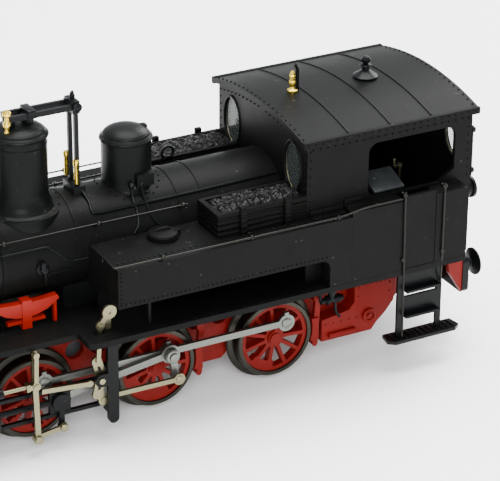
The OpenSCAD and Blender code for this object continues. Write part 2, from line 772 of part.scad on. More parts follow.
module brake_gear() {
    color("firebrick") both() {
        // hanger, shoe and its rod behind the middle and the rear wheels
        for (x = [0, -axle_gap]) translate([x, 0, 0]) {
            plate_y(tyre_face_y - 1.6, tyre_face_y - 0.8)
                bar_2d([-tread_r - 1.7, axle_z + 5.5], [-tread_r - 1.2, axle_z - 3.4], 1);
            plate_y(tyre_back_y + 1, tyre_face_y - 0.5) difference() {
                translate([-tread_r - 1.7, axle_z - 2.4]) square([2.4, 4]);
                translate([0, axle_z]) circle(tread_r + 0.5);
            }
            translate([-tread_r - 1.9, frame_y, axle_z + 4.7]) cube([1, tyre_face_y - 0.8 - frame_y, 1.1]);
        }
    }
    // pull rod and cross shafts low between the wheels
    color("firebrick") {
        for (x = [-tread_r - 1.2, -axle_gap - tread_r - 1.2])
            rod_y(0.45, -(tyre_face_y - 0.8), tyre_face_y - 0.8, x, axle_z - 3.4);
        both() translate([-axle_gap - tread_r - 1.2, 2.6, axle_z - 3.8]) cube([axle_gap, 0.8, 0.8]);
    }
}

// leaf spring standing on the running board over the front axle
module leaf_springs() {
    z = board_z;
    y = frame_y + 0.6;
    half = 5.6;
    color("#d8391b") both() {
        plate_y(y, y + 1.3) translate([axle_gap, z]) polygon([
            [-half, 4.1], [-half + 0.3, 4.7], [-2.6, 4.5], [0, 4.4], [2.6, 4.5], [half - 0.3, 4.7], [half, 4.1],
            [half - 0.4, 3.8], [3.6, 2.7], [1.8, 2.1], [0, 1.9], [-1.8, 2.1], [-3.6, 2.7], [-half + 0.4, 3.8]]);
        translate([axle_gap - 0.8, y - 0.15, z]) cube([1.6, 1.6, 4.9]);
        translate([axle_gap - 3.2, y + 0.2, z + 0.9]) cube([6.4, 0.9, 0.6]);
        for (s = [-1, 1]) translate([axle_gap + s * 5 - 0.25, y + 0.3, z]) cube([0.5, 0.7, 4]);
    }
}

// ---- boiler ----

// space that the boiler takes, with a seat for what is fitted to it
module boiler_space(grow) {
    rod_x(boiler_r + grow, -80, 80, 0, boiler_z);
}

module boiler() {
    color("#2b2e2f") rod_x(boiler_r, cab_front_x, barrel_front_x, 0, boiler_z);
}

// firebox sides below the barrel, and the ash pan
module firebox() {
    w = boiler_r - 0.6;
    color("#26292a") difference() {
        union() {
            translate([cab_front_x, -w, board_z]) cube([17, 2 * w, boiler_z - board_z]);
            translate([8, -5, board_z]) cube([6, 10, boiler_z - board_z]);
        }
        boiler_space(seat);
    }
}

module smokebox() {
    color("#232526") {
        rod_x(smokebox_r, barrel_front_x, smokebox_front_x, 0, boiler_z);
        translate([barrel_front_x + 2.5, -6.2, board_z]) cube([9, 12.4, 5]);
    }
}

module smokebox_door() {
    x = smokebox_front_x;
    color("#232526") {
        translate([x, 0, boiler_z]) rotate([0, 90, 0]) rotate_extrude()
            polygon([[0, 0], [smokebox_r - 0.7, 0], [smokebox_r - 0.7, 0.6], [smokebox_r - 1.6, 0.6],
                [smokebox_r - 2, 1], [4.4, 1.6], [2.2, 1.95], [0, 2.05]]);
        // centre dart and the two hinge straps
        rod_x(0.55, x + 2, x + 3, 0, boiler_z);
        translate([x + 2.4, -0.3, boiler_z - 2.2]) cube([0.4, 0.6, 2.4]);
    }
}

// a piece of revolution standing on the barrel
module stands_on_boiler(x, r) {
    difference() {
        translate([x, 0, 0]) rotate_extrude() children();
        rod_x(r + seat, x - 12, x + 12, 0, boiler_z);
    }
}

module chimney() {
    t = chimney_top_z;
    z = boiler_z + smokebox_r;
    color("#232526") difference() {
        stands_on_boiler(chimney_x, smokebox_r) polygon([[0, z - 3], [4.4, z - 3], [4.4, z - 1.6], [3.7, z - 0.6],
            [3, z + 0.5], [2.55, z + 2], [2.65, t - 1.7], [3.3, t - 1.4], [3.4, t - 0.6], [3, t], [0, t]]);
        translate([chimney_x, 0, z + 1]) cylinder(r = 2, h = 20);
    }
}

// dome with a flared foot and a rounded crown
module dome_profile(r, shoulder, crown, foot) {
    z = boiler_top_z;
    polygon(concat([[0, z - 3], [r + foot, z - 3], [r + foot, z - 1.1]],
        [for (a = [0:15:90]) [r + foot * (1 - sin(a)), z - 1.1 + (foot + 1.2) * (1 - cos(a))]],
        [[r, shoulder - 0.7], [r + 0.15, shoulder - 0.6], [r + 0.15, shoulder]],
        [for (a = [10:10:90]) [(r - 0.1) * cos(a), shoulder + crown * sin(a)]]));
}

module steam_dome() {
    color("#232526")
        stands_on_boiler(steam_dome_x, boiler_r) dome_profile(steam_dome_r, steam_dome_z, 1.5, 1.9);
}

module sand_dome() {
    color("#232526") {
        stands_on_boiler(sand_dome_x, boiler_r) dome_profile(sand_dome_r, sand_dome_z, 1.7, 0.5);
        // valve block at the front of each side, for the sand pipes
        both() difference() {
            translate([sand_dome_x - 2.6, 3.2, boiler_top_z + 0.2]) cube([3, 1.6, 2]);
            translate([sand_dome_x, 0, 30]) cylinder(r = sand_dome_r + seat, h = 20);
        }
    }
}

// two spring balances, their column and the levers over the steam dome
module safety_valve() {
    z0 = boiler_top_z - 1;
    color("#1d1f20") {
        difference() {
            translate([column_x - 1, -2.1, z0]) cube([2, 4.2, 2.2]);
            boiler_space(seat);
        }
        for (y = [-1.2, 1.2]) {
            translate([column_x - 0.35, y - 0.3, z0 + 2.2]) cube([0.7, 0.6, lever_z - z0 - 2.2]);
            translate([column_x - 0.6, y - 0.3, lever_z]) cube([steam_dome_x + 2.3 - column_x + 0.6, 0.6, 0.9]);
        }
        translate([column_x - 0.6, -1.6, lever_z - 0.6]) cube([1.2, 3.2, 2]);
        translate([column_x, 0, lever_z + 1.4]) cylinder(r = 0.35, h = 1);
        // valve seats on the dome's crown
        difference() {
            for (x = [-1.6, 1.6]) translate([steam_dome_x + x, 0, steam_dome_z])
                cylinder(r = 1, h = lever_z + 0.5 - steam_dome_z);
            translate([steam_dome_x, 0, 0]) rotate_extrude()
                dome_profile(steam_dome_r + 0.4, steam_dome_z + seat, 1.5, 1);
        }
        translate([steam_dome_x - 2.4, -1.6, lever_z]) cube([1.4, 3.2, 0.9]);
    }
}

// ---- tanks ----

// side view of a tank with its leg down to the running board
module tank_outline() {
    r = 1.6;
    z0 = board_z + seat;
    difference() {
        union() {
            translate([tank_rear_x, tank_bottom_z])
                square([tank_front_x - tank_rear_x, tank_top_z - tank_bottom_z]);
            translate([tank_rear_x, z0]) square([tank_leg_x - tank_rear_x, tank_bottom_z - z0]);
            translate([tank_leg_x, tank_bottom_z - r]) square([r, r]);
        }
        translate([tank_leg_x + r, tank_bottom_z - r]) circle(r);
    }
}

// tank from the boiler side out, beside and before the cab
module side_tanks() {
    color("#2b2e2f") difference() {
        both() {
            difference() {
                plate_y(4, tank_y) tank_outline();
                translate([-60, 0, 0]) cube([cab_front_x + 60, cab_y + 0.02, 60]);
                translate([-60, 0, 0]) cube([70, boiler_r - 0.6 + 0.02, boiler_z]);
            }
            // foot on the running board
            translate([4, tank_y - 2.6, board_z]) cube([0.5, 0.5, tank_bottom_z - board_z]);
        }
        boiler_space(seat);
    }
}

module filler_lids() {
    color("#26292a") both() translate([-1, 10.6, tank_top_z]) {
        cylinder(r = 2.6, h = 0.35);
        cylinder(r = 2.2, h = 0.8);
        translate([-2.9, -0.5, 0]) cube([1, 1, 0.9]);
        cylinder(r = 0.35, h = 1.2);
    }
}

module coal_boxes() {
    x0 = cab_front_x + 0.1;
    y0 = coal_box_y[0];
    y1 = coal_box_y[1];
    color("#3a3733") both() {
        difference() {
            translate([x0, y0, tank_top_z]) cube([coal_box_front_x - x0, y1 - y0, coal_box_h]);
            translate([x0 - 1, y0 + plank_t, tank_top_z + 0.5])
                cube([coal_box_front_x - x0 + 1 - plank_t, y1 - y0 - 2 * plank_t, coal_box_h]);
        }
        for (f = [0.3, 0.8]) translate([coal_box_front_x + (x0 - coal_box_front_x) * f, y1, tank_top_z])
            cube([1, 0.4, coal_box_h + 0.5]);
    }
}

// moulded coal filling of the boxes
module coal() {
    x0 = cab_front_x + 0.2;
    y0 = coal_box_y[0] + plank_t + 0.05;
    y1 = coal_box_y[1] - plank_t - 0.05;
    color("#1b1b1c") both() translate([x0, y0, tank_top_z + 0.55])
        cube([coal_box_front_x - plank_t - 0.05 - x0, y1 - y0, coal_box_h - 0.9]);
}

// ---- cab ----

// space under the roof, seen from the front
module under_roof() {
    intersection() {
        translate([-cab_y, 0]) square([2 * cab_y, 60]);
        translate([0, roof_c_z]) circle(roof_r - seat, $fn = 256);
    }
}

module cab_front_wall() {
    color("#2b2e2f") difference() {
        plate_x(cab_front_x - wall_t, cab_front_x) difference() {
            under_roof();
            translate([-30, -10]) square([60, board_z + 10]);
            for (s = [-1, 1]) translate([s * oval_y, oval_z]) oval(0);
        }
    }
}

module cab_rear_wall() {
    color("#2b2e2f") plate_x(cab_rear_x, cab_rear_x + wall_t) difference() {
        under_roof();
        translate([-30, -10]) square([60, board_z + 10]);
        for (s = [-1, 1]) translate([s * oval_y, oval_z]) oval(0);
    }
}

// the cab's side opening with round corners and a sloping rear lower corner
module side_opening() {
    x0 = opening_x[0];
    x1 = opening_x[1];
    z0 = opening_z[0];
    z1 = opening_z[1];
    difference() {
        round_rect(x0, x1, z0, z1, 1.8);
        polygon([[x0 - 0.1, z0 - 0.1], [x0 + 3.2, z0 - 0.1], [x0 - 0.1, z0 + 2.1]]);
    }
}

// upper sheet, ledge and wide lower sheet of the cab's side
module cab_sides() {
    x0 = cab_rear_x + wall_t;
    x1 = cab_front_x - wall_t;
    edge_z = roof_c_z + sqrt(pow(roof_r - seat, 2) - cab_y * cab_y);
    z0 = board_z + seat;
    color("#2b2e2f") both() {
        plate_y(cab_in_y, cab_y) difference() {
            translate([x0, ledge_z]) square([x1 - x0, edge_z - ledge_z]);
            side_opening();
        }
        plate_y(cab_in_y, cab_y) {
            translate([tank_rear_x, z0]) square([x1 - tank_rear_x, ledge_z - z0]);
            translate([x0, z0]) square([skirt_rear_x + 0.7 - x0, ledge_z - z0]);
        }
        // ledge, broken at the door
        for (x = [[door_x[1], tank_rear_x], [skirt_rear_x, door_x[0]]])
            translate([x[0], cab_in_y, ledge_z - 0.6]) cube([x[1] - x[0], tank_y - cab_in_y, 0.6]);
        // wide lower sheets before and behind the door, and the walls beside the door
        for (x = [[door_x[1] + 0.02, tank_rear_x - 0.02], [skirt_rear_x, door_x[0] - 0.02]])
            translate([x[0], tank_y - skirt_t, z0]) cube([x[1] - x[0], skirt_t, ledge_z - z0]);
        translate([skirt_rear_x, cab_in_y, z0]) cube([0.7, tank_y - cab_in_y, ledge_z - z0]);
        // door, a separate panel between the sheets
        translate([door_x[0], tank_y - skirt_t - 0.1, z0]) cube([door_x[1] - door_x[0], skirt_t, door_top_z - z0]);
    }
}

module cab_floor() {
    x0 = cab_rear_x + wall_t + seat;
    x1 = cab_front_x - wall_t - seat;
    color("#1d1f20") {
        translate([x0, -cab_in_y + seat, board_z + seat]) cube([x1 - x0, 2 * (cab_in_y - seat), floor_t]);
        both() translate([skirt_rear_x + 0.7 + seat, cab_in_y - 0.1, board_z + seat])
            cube([tank_rear_x - skirt_rear_x - 0.7 - 2 * seat, tank_y - skirt_t - 0.2 - cab_in_y, floor_t]);
    }
}

module cab_roof() {
    color("#2b2e2f") {
        plate_x(roof_x[0], roof_x[1]) {
            difference() {
                intersection() {
                    translate([0, roof_c_z]) circle(roof_r + roof_t, $fn = 256);
                    translate([-roof_y, eave_z - 3]) square([2 * roof_y, 20]);
                }
                translate([0, roof_c_z]) circle(roof_r, $fn = 256);
                translate([-roof_y - 1, eave_z - 4]) square([2 * roof_y + 2, 4]);
            }
        }
        // gutters along the eaves
        both() translate([roof_x[0], roof_y - 0.7, eave_z]) cube([roof_x[1] - roof_x[0], 0.7, 1.1]);
    }
}

// glazing inside the four oval windows
module cab_glazing() {
    color([0.8, 0.9, 0.95, 0.4]) for (s = [-1, 1], x = [cab_front_x - wall_t / 2, cab_rear_x + wall_t / 2])
        plate_x(x - glass_t / 2, x + glass_t / 2) translate([s * oval_y, oval_z]) oval(-seat);
}

// boiler backhead with its fittings, inside the cab
module backhead() {
    x = cab_front_x - wall_t - seat;
    z0 = board_z + seat + floor_t + 0.05;
    color("#3c3f40") {
        translate([x - 3, -6.6, z0]) cube([3, 13.2, boiler_z - z0]);
        difference() {
            rod_x(6.6, x - 3, x, 0, boiler_z);
            translate([x - 4, -8, 0]) cube([6, 16, boiler_z - 0.1]);
        }
        rod_x(1.6, x - 3.6, x - 2.9, 0, boiler_z - 4);
        rod_x(0.5, x - 4, x - 2.9, 3, boiler_z + 3);
        rod_x(0.5, x - 4, x - 2.9, -3, boiler_z + 3);
        // lockers beside the backhead
        both() translate([x - 7.5, 8.2, z0]) cube([7.5, 5.8, 11.4]);
    }
}

module whistle() {
    z = roof_c_z + roof_r + roof_t + seat;
    color("#c8a83c") translate([-30.1, 0, 0]) {
        translate([0, 0, z - 0.03]) cylinder(r = 0.85, h = 0.5);
        translate([0, 0, z]) cylinder(r = 0.4, h = 3.6);
        translate([0, 0, z + 1.1]) cylinder(r = 0.6, h = 1.3);
        translate([0, 0, z + 2.8]) cylinder(r = 0.5, h = 0.8);
    }
}

module roof_vent() {
    z = roof_c_z + roof_r + roof_t + seat;
    color("#1d1f20") translate([-44, 0, z - 0.03]) rotate_extrude()
        polygon([[0, 0], [2, 0], [2.1, 0.35], [1.2, 0.9], [0.65, 1.3], [0.6, 1.9], [1, 2.1], [0.9, 2.3],
            [0.4, 2.4], [0.75, 2.8], [0.8, 3.2], [0.5, 3.6], [0, 3.7]]);
}

// ---- steps and lamps ----

module cab_steps() {
    y = 16.3;
    color("#1d1f20") both() {
        for (x = step_x) translate([x - 0.5, y, step_low_z]) cube([1, 0.5, board_low_z - step_low_z]);
        // two kick boards with narrow treads, and the long lowest step
        for (z = [9.4, 14.1]) {
            translate([step_x[0] + 0.5, y, z]) cube([step_x[1] - step_x[0] - 1, 0.5, 3.4]);
            translate([step_x[0] + 0.5, y + 0.5, z]) cube([step_x[1] - step_x[0] - 1, 1.4, 0.4]);
        }
        translate([0, 0, step_low_z - 0.6]) linear_extrude(0.6) polygon([
            [step_x[0] - 3.4, y - 1.2], [step_x[1] + 2.2, y - 1.2], [step_x[1] + 2.6, y + 1.2],
            [step_x[1] + 1.4, y + 2.1], [step_x[0] - 2.6, y + 2.1], [step_x[0] - 3.8, y + 1.2]]);
    }
}

// one lamp pointing forward from x = 0
module lamp() {
    rotate([0, 90, 0]) {
        translate([0, 0, -1.8]) cylinder(r = 1.5, h = 1.8);
        cylinder(r = 1.85, h = 0.5);
    }
    translate([-1.1, 0, 0]) cylinder(r = 0.6, h = 2.4);
}

module lamps() {
    color("#1d1f20") both() {
        translate([beam_front_x - 0.6, buffer_y + 0.4, board_z + 2.1]) lamp();
        translate([beam_front_x - 2.4, buffer_y + 0.1, board_z]) cube([1.2, 0.6, 0.9]);
        translate([cab_rear_x - 1.9, 12.2, 28]) mirror([1, 0, 0]) lamp();
    }
}

// ---- drawing ----
on_rail() main_frame();
on_rail() motor_block();
on_rail() running_board();
on_rail() front_buffer_beam();
on_rail() rear_buffer_beam();
on_rail() front_buffers();
on_rail() rear_buffers();
on_rail() draw_hooks();
on_rail() cylinders();
on_rail() slide_bars();
on_rail() motion_brackets();
on_rail() expansion_links();
on_rail() radius_rods();
on_rail() reversing_levers();
on_rail() valve_spindles();
on_rail() brake_gear();
on_rail() leaf_springs();
on_rail() front_wheels();
on_rail() front_tyres();
on_rail() middle_wheels();
on_rail() middle_tyres();
on_rail() return_cranks();
on_rail() rear_wheels();
on_rail() rear_tyres();
on_rail() left_coupling_rod();
on_rail() right_coupling_rod();
on_rail() left_main_rod();
on_rail() right_main_rod();
on_rail() left_eccentric_rod();
on_rail() right_eccentric_rod();
on_rail() left_crosshead();
on_rail() right_crosshead();
on_rail() left_combination_lever();
on_rail() right_combination_lever();
on_rail() left_union_link();
on_rail() right_union_link();
on_rail() boiler();
on_rail() firebox();
on_rail() smokebox();
on_rail() smokebox_door();
on_rail() chimney();
on_rail() steam_dome();
on_rail() safety_valve();
on_rail() sand_dome();
on_rail() side_tanks();
on_rail() filler_lids();
on_rail() coal_boxes();
on_rail() coal();
on_rail() cab_front_wall();
on_rail() cab_sides();
on_rail() cab_rear_wall();
on_rail() cab_floor();
on_rail() cab_roof();
on_rail() cab_glazing();
on_rail() backhead();
on_rail() whistle();
on_rail() roof_vent();
on_rail() cab_steps();
on_rail() lamps();
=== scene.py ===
# %% [markdown]
# A small model steam locomotive, dressed for display.
#
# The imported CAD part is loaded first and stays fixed: its boiler, tanks, cab, wheels and rods are
# already the right shape. The lesson adds what a modeller would add by hand, which is rivets,
# handrails, pipes, planks and coal, and then gives every piece its finish.

# %% Load the part
import json
import math

import bpy
from mathutils import Matrix, Vector


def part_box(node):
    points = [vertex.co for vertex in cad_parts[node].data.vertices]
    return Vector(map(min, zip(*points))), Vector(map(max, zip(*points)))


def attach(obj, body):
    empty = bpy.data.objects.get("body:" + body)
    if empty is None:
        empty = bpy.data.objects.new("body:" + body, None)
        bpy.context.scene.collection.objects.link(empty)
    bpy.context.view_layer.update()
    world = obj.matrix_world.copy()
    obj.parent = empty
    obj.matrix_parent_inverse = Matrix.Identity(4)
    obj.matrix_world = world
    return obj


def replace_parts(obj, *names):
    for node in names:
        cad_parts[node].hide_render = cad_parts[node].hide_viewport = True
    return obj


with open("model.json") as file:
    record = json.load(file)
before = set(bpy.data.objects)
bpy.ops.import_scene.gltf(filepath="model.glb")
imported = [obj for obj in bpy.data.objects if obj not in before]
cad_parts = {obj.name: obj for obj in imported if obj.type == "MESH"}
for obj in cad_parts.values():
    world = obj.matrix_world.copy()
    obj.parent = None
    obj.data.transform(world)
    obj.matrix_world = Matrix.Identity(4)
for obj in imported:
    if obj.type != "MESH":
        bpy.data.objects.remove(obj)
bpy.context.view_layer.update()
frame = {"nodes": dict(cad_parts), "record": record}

# %% [markdown]
# A drawing of a locomotive is measured forward from the middle axle, outwards from the track's
# centre and up from the rail. at() turns such a place, in millimetres, into the part's metres. It
# finds the middle axle from the tyres that turn on it.

# %% Places on the drawing
MM = 0.001
TREAD_RADIUS = 6.9
tyre_low, tyre_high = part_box("middle_tyres")
AXLE_X = (tyre_low.x + tyre_high.x) / 2
RAIL_Z = (tyre_low.z + tyre_high.z) / 2 - TREAD_RADIUS * MM


def at(x, y, z):
    """The place x forward of the middle axle, y left of the centre and z above the rail, in mm."""
    return Vector((AXLE_X + x * MM, y * MM, RAIL_Z + z * MM))


print("rail head at", RAIL_Z)

# %% [markdown]
# Every operator works on what is selected, and a new primitive selects itself, so each step starts
# from an empty selection. put() then turns a finished shape, moves it to its place and writes both
# into the mesh, so that the object itself stays at the origin.

# %% Selecting and placing
def deselect():
    """Leaves edit mode and empties the selection."""
    if bpy.context.object and bpy.context.object.mode != "OBJECT":
        bpy.ops.object.mode_set(mode="OBJECT")
    bpy.ops.object.select_all(action="DESELECT")


def only(obj):
    """Selects obj alone and makes it active."""
    deselect()
    obj.select_set(True)
    bpy.context.view_layer.objects.active = obj
    return obj


def put(obj, place, turn=(0, 0, 0)):
    """Turns obj by degrees about X, Y and Z, moves it to place and applies both."""
    only(obj)
    obj.location = place
    obj.rotation_euler = [math.radians(a) for a in turn]
    bpy.ops.object.transform_apply(location=True, rotation=True, scale=True)
    return obj


def use_modifier(obj, kind, **settings):
    """Adds a modifier with its settings and applies it."""
    only(obj)
    modifier = obj.modifiers.new(kind.title(), kind)
    for key, value in settings.items():
        setattr(modifier, key, value)
    bpy.ops.object.modifier_apply(modifier=modifier.name)
    return obj


# %% [markdown]
# Most fittings are turned on a lathe on the real thing. Here a disc is extruded upwards ring by
# ring, and each new ring is scaled to its radius, which is the same work in Blender's terms.

# %% A turned piece
UP = (0, 0, 0)
FORWARD = (0, 90, 0)
BACKWARD = (0, -90, 0)
LEFT = (-90, 0, 0)
RIGHT = (90, 0, 0)


def turned(name, rings, place=Vector(), turn=UP, sides=20):
    """A round piece from rings of (radius, height) in mm, standing on place along its turned Z."""
    deselect()
    radius, height = rings[0]
    bpy.ops.mesh.primitive_circle_add(
        vertices=sides, radius=radius * MM, fill_type="NGON", location=(0, 0, height * MM)
    )
    obj = bpy.context.object
    obj.name = name
    bpy.ops.object.transform_apply(location=True)
    bpy.ops.object.mode_set(mode="EDIT")
    bpy.ops.mesh.select_all(action="SELECT")
    for (r0, z0), (r1, z1) in zip(rings, rings[1:]):
        bpy.ops.mesh.extrude_region_move(TRANSFORM_OT_translate={"value": (0, 0, (z1 - z0) * MM)})
        bpy.ops.transform.resize(value=(r1 / r0, r1 / r0, 1), center_override=(0, 0, z1 * MM))
    bpy.ops.mesh.select_all(action="SELECT")
    bpy.ops.mesh.normals_make_consistent(inside=False)
    bpy.ops.object.mode_set(mode="OBJECT")
    return put(obj, place, turn)


# %% [markdown]
# A pipe or a handrail is a wire bent round corners. One vertex is extruded from place to place, the
# chain becomes a curve, and the curve's bevel gives it its thickness.

# %% A bent wire
def rounded(points, radius):
    """The same path with each inner corner cut into a small curve; radius in mm."""
    path = [points[0]]
    for before, corner, after in zip(points, points[1:], points[2:]):
        cut = min(radius * MM, (before - corner).length / 2.2, (after - corner).length / 2.2)
        a = corner + (before - corner).normalized() * cut
        b = corner + (after - corner).normalized() * cut
        for t in (0, 0.25, 0.5, 0.75, 1):
            path.append(a * (1 - t) ** 2 + corner * 2 * t * (1 - t) + b * t * t)
    return path + [points[-1]]


def wire(name, points, thick, bend=0.8):
    """A round wire of thickness thick mm along points, with corners bent to a radius of bend mm."""
    path = rounded(points, bend) if len(points) > 2 else points
    deselect()
    bpy.ops.mesh.primitive_plane_add(size=MM, location=path[0])
    bpy.ops.object.mode_set(mode="EDIT")
    bpy.ops.mesh.select_all(action="SELECT")
    bpy.ops.mesh.merge(type="CENTER")
    for a, b in zip(path, path[1:]):
        bpy.ops.mesh.extrude_region_move(TRANSFORM_OT_translate={"value": b - a})
    bpy.ops.object.mode_set(mode="OBJECT")
    bpy.ops.object.convert(target="CURVE")
    curve = bpy.context.object
    curve.data.bevel_depth = thick / 2 * MM
    curve.data.bevel_resolution = 2
    curve.data.use_fill_caps = True
    bpy.ops.object.convert(target="MESH")
    obj = bpy.context.object
    obj.name = name
    bpy.ops.object.transform_apply(location=True)
    return obj


# %% [markdown]
# Plates and bars start as a cube, and an applied bevel breaks their edges as paint and moulding do.

# %% A bar with softened edges
def bar(name, low, high, soft=0.1):
    """A box between two places, its edges bevelled by soft mm."""
    deselect()
    bpy.ops.mesh.primitive_cube_add(size=1, location=(low + high) / 2)
    obj = bpy.context.object
    obj.name = name
    obj.scale = high - low
    bpy.ops.object.transform_apply(location=True, rotation=True, scale=True)
    return use_modifier(obj, "BEVEL", width=soft * MM, segments=2)


# %% [markdown]
# What repeats is modelled once. copies() sets one model out on many places, each with its own mesh,
# turned so that its Z follows the surface, and joins the lot into one piece.

# %% Copies, joining and mirroring
def copies(name, model, spots):
    """Copies of model on (place, outward direction) spots, joined. The model itself is removed."""
    made = []
    for place, out in spots:
        one = model.copy()
        one.data = model.data.copy()
        bpy.context.scene.collection.objects.link(one)
        turn = Vector((0, 0, 1)).rotation_difference(Vector(out)).to_matrix().to_4x4()
        one.data.transform(Matrix.Translation(place) @ turn)
        made.append(one)
    bpy.data.objects.remove(model)
    return join(name, made)


def join(name, pieces):
    """Joins pieces into one object."""
    deselect()
    for piece in pieces:
        piece.select_set(True)
    bpy.context.view_layer.objects.active = pieces[0]
    if len(pieces) > 1:
        bpy.ops.object.join()
    obj = bpy.context.object
    obj.name = name
    return obj


def both_sides(obj):
    """Adds the mirror image of obj on the locomotive's other side."""
    return use_modifier(obj, "MIRROR", use_axis=(False, True, False), use_mirror_merge=False)


# %% [markdown]
# The materials come next. Each one starts as the real stuff: injection-moulded plastic with a satin
# varnish, nickel plating, chemically darkened steel, turned brass. Colours are written as they look
# on a screen, and one function turns them to the linear values that a shader works in.

# %% Colour and node helpers
def linear(code):
    """An sRGB hex colour as linear red, green, blue and a full alpha."""
    parts = [int(code[i : i + 2], 16) / 255 for i in (1, 3, 5)]
    return [((p + 0.055) / 1.055) ** 2.4 if p > 0.04045 else p / 12.92 for p in parts] + [1.0]


def add(material, kind, inputs=(), **settings):
    """Adds a node, sets its settings, and fills its inputs with values or links."""
    made = material.node_tree.nodes.new(kind)
    for key, value in settings.items():
        setattr(made, key, value)
    for key, value in dict(inputs).items():
        if isinstance(value, bpy.types.NodeSocket):
            material.node_tree.links.new(value, made.inputs[key])
        else:
            made.inputs[key].default_value = value
    return made


def start(name):
    """A new node material, holding only its object coordinates, and those coordinates."""
    material = bpy.data.materials.new(name)
    material.use_nodes = True
    material.node_tree.nodes.clear()
    place = add(material, "ShaderNodeTexCoord").outputs["Object"]
    return material, place


def end(material, shader):
    """Links the last shader to the material's output."""
    add(material, "ShaderNodeOutputMaterial", {"Surface": shader.outputs[0]})
    return material


# %% [markdown]
# Painted plastic is never one flat colour at this scale. A soft noise of about 4 mm lets the
# varnish pool a little darker and lighter, a fine one of a quarter of a millimetre is the matting
# agent in the varnish, and rare pale specks are dust. The fine grain is drawn a little coarser than
# it is, so that it shows.

# %% Varnished plastic
CLOUD_SCALE, SPECK_SCALE, MATTING_SCALE = 250, 1400, 4000
SPECKS_FROM, SPECKS_FULL = 0.74, 0.8
DUST_GREY = "#8b8a80"
PLASTIC_IOR = 1.5


def noise(material, place, scale, detail):
    """A noise texture over place."""
    return add(material, "ShaderNodeTexNoise", {"Vector": place, "Scale": scale, "Detail": detail})


def mix(material, factor, low, high):
    """A colour between low and high."""
    return add(material, "ShaderNodeMix", {"Factor": factor, 6: low, 7: high}, data_type="RGBA")


def varnished(name, code, rough, cloud=0.14, dust=0.5, grain=0.25, gloss=0.045):
    """Moulded plastic under satin varnish: colour, roughness, unevenness, dust, grain and gloss."""
    material, place = start(name)
    base = linear(code)
    pale = [min(1.0, c * (1 + 2.2 * cloud) + 0.001) for c in base[:3]] + [1.0]
    dark = [c * (1 - 2 * cloud) for c in base[:3]] + [1.0]
    soft = noise(material, place, CLOUD_SCALE, 3)
    body = mix(material, soft.outputs["Fac"], dark, pale)
    fleck = noise(material, place, SPECK_SCALE, 1)
    few = add(
        material,
        "ShaderNodeMapRange",
        {
            "Value": fleck.outputs["Fac"],
            "From Min": SPECKS_FROM,
            "From Max": SPECKS_FULL,
            "To Max": dust,
        },
    )
    tint = mix(material, few.outputs[0], body.outputs[2], linear(DUST_GREY))
    fine = noise(material, place, MATTING_SCALE, 2)
    relief = add(
        material,
        "ShaderNodeBump",
        {"Height": fine.outputs["Fac"], "Strength": grain, "Distance": 0.04 * MM},
    )
    worn = add(
        material,
        "ShaderNodeMapRange",
        {"Value": soft.outputs["Fac"], "To Min": rough - 0.07, "To Max": rough + 0.09},
    )
    shader = add(
        material,
        "ShaderNodeBsdfPrincipled",
        {
            "Base Color": tint.outputs[2],
            "Roughness": worn.outputs[0],
            "IOR": PLASTIC_IOR,
            "Specular IOR Level": gloss,
            "Normal": relief.outputs[0],
        },
    )
    return end(material, shader)


# Polystyrene, moulded black and varnished satin: nearly black with a slight green warmth.
BODY_BLACK = varnished("satin black varnished polystyrene", "#080908", 0.4, dust=0.1)
# The smokebox and the domes have a smoother varnish.
SMOKEBOX_BLACK = varnished(
    "deep black varnished polystyrene", "#080909", 0.34, dust=0.1, gloss=0.06
)
# Fittings are left as moulded, so they are smoother and glossier.
TRIM_BLACK = varnished("black moulded acetal", "#08090a", 0.3, cloud=0.1, dust=0.08, gloss=0.09)
# The frame and the wheels are moulded in red and lightly matted.
FRAME_RED = varnished(
    "red moulded polystyrene", "#5e0803", 0.46, cloud=0.1, dust=0.04, gloss=0.12
)
# The leaf springs are a brighter, orange red.
SPRING_RED = varnished(
    "bright red moulded acetal", "#7c0e02", 0.36, cloud=0.06, dust=0.03, gloss=0.18
)
print("varnished plastics made")

# %% [markdown]
# The rods are metal. Nickel plate is warm and bright, and reflects softly because it is stamped and
# not polished. Darkened steel is grey and duller. A stretched noise gives both the lines of
# rolling.

# %% Metals
ROLLING_LINES = (60, 60, 1200)


def rolled(name, code, rough, uneven=0.1):
    """Rolled or turned metal: its colour, its roughness and the share by which its tone varies."""
    material, place = start(name)
    base = linear(code)
    darker = [c * (1 - uneven) for c in base[:3]] + [1.0]
    lighter = [min(1.0, c * (1 + uneven)) for c in base[:3]] + [1.0]
    lines = add(material, "ShaderNodeMapping", {"Vector": place, "Scale": ROLLING_LINES})
    streaks = noise(material, lines.outputs[0], 1, 4)
    tint = mix(material, streaks.outputs["Fac"], darker, lighter)
    worn = add(
        material,
        "ShaderNodeMapRange",
        {"Value": streaks.outputs["Fac"], "To Min": rough - 0.08, "To Max": rough + 0.1},
    )
    shader = add(
        material,
        "ShaderNodeBsdfPrincipled",
        {"Base Color": tint.outputs[2], "Roughness": worn.outputs[0], "Metallic": 1.0},
    )
    return end(material, shader)


# Nickel-plated brass of the valve gear: bright, with a straw tint.
NICKEL = rolled("nickel-plated brass", "#78745b", 0.34)
# Nickel wire for the handrails, darkened, so that only its top edge gleams.
RAIL_WIRE = rolled("darkened nickel wire", "#232321", 0.36)
# Blackened and rubbed steel of the coupling and main rods.
ROD_STEEL = rolled("blackened steel", "#6c6e69", 0.46, uneven=0.14)
# Turned nickel-silver tyres, their treads worn by the rail.
TYRE_STEEL = rolled("turned nickel silver", "#34332e", 0.42)
# Turned brass, unlacquered.
BRASS = rolled("turned brass", "#d9b945", 0.26, uneven=0.08)
# Grey cast zinc of the motor block.
MOTOR_GREY = rolled("grey cast zinc", "#4a4c4d", 0.6)
print("metals made")

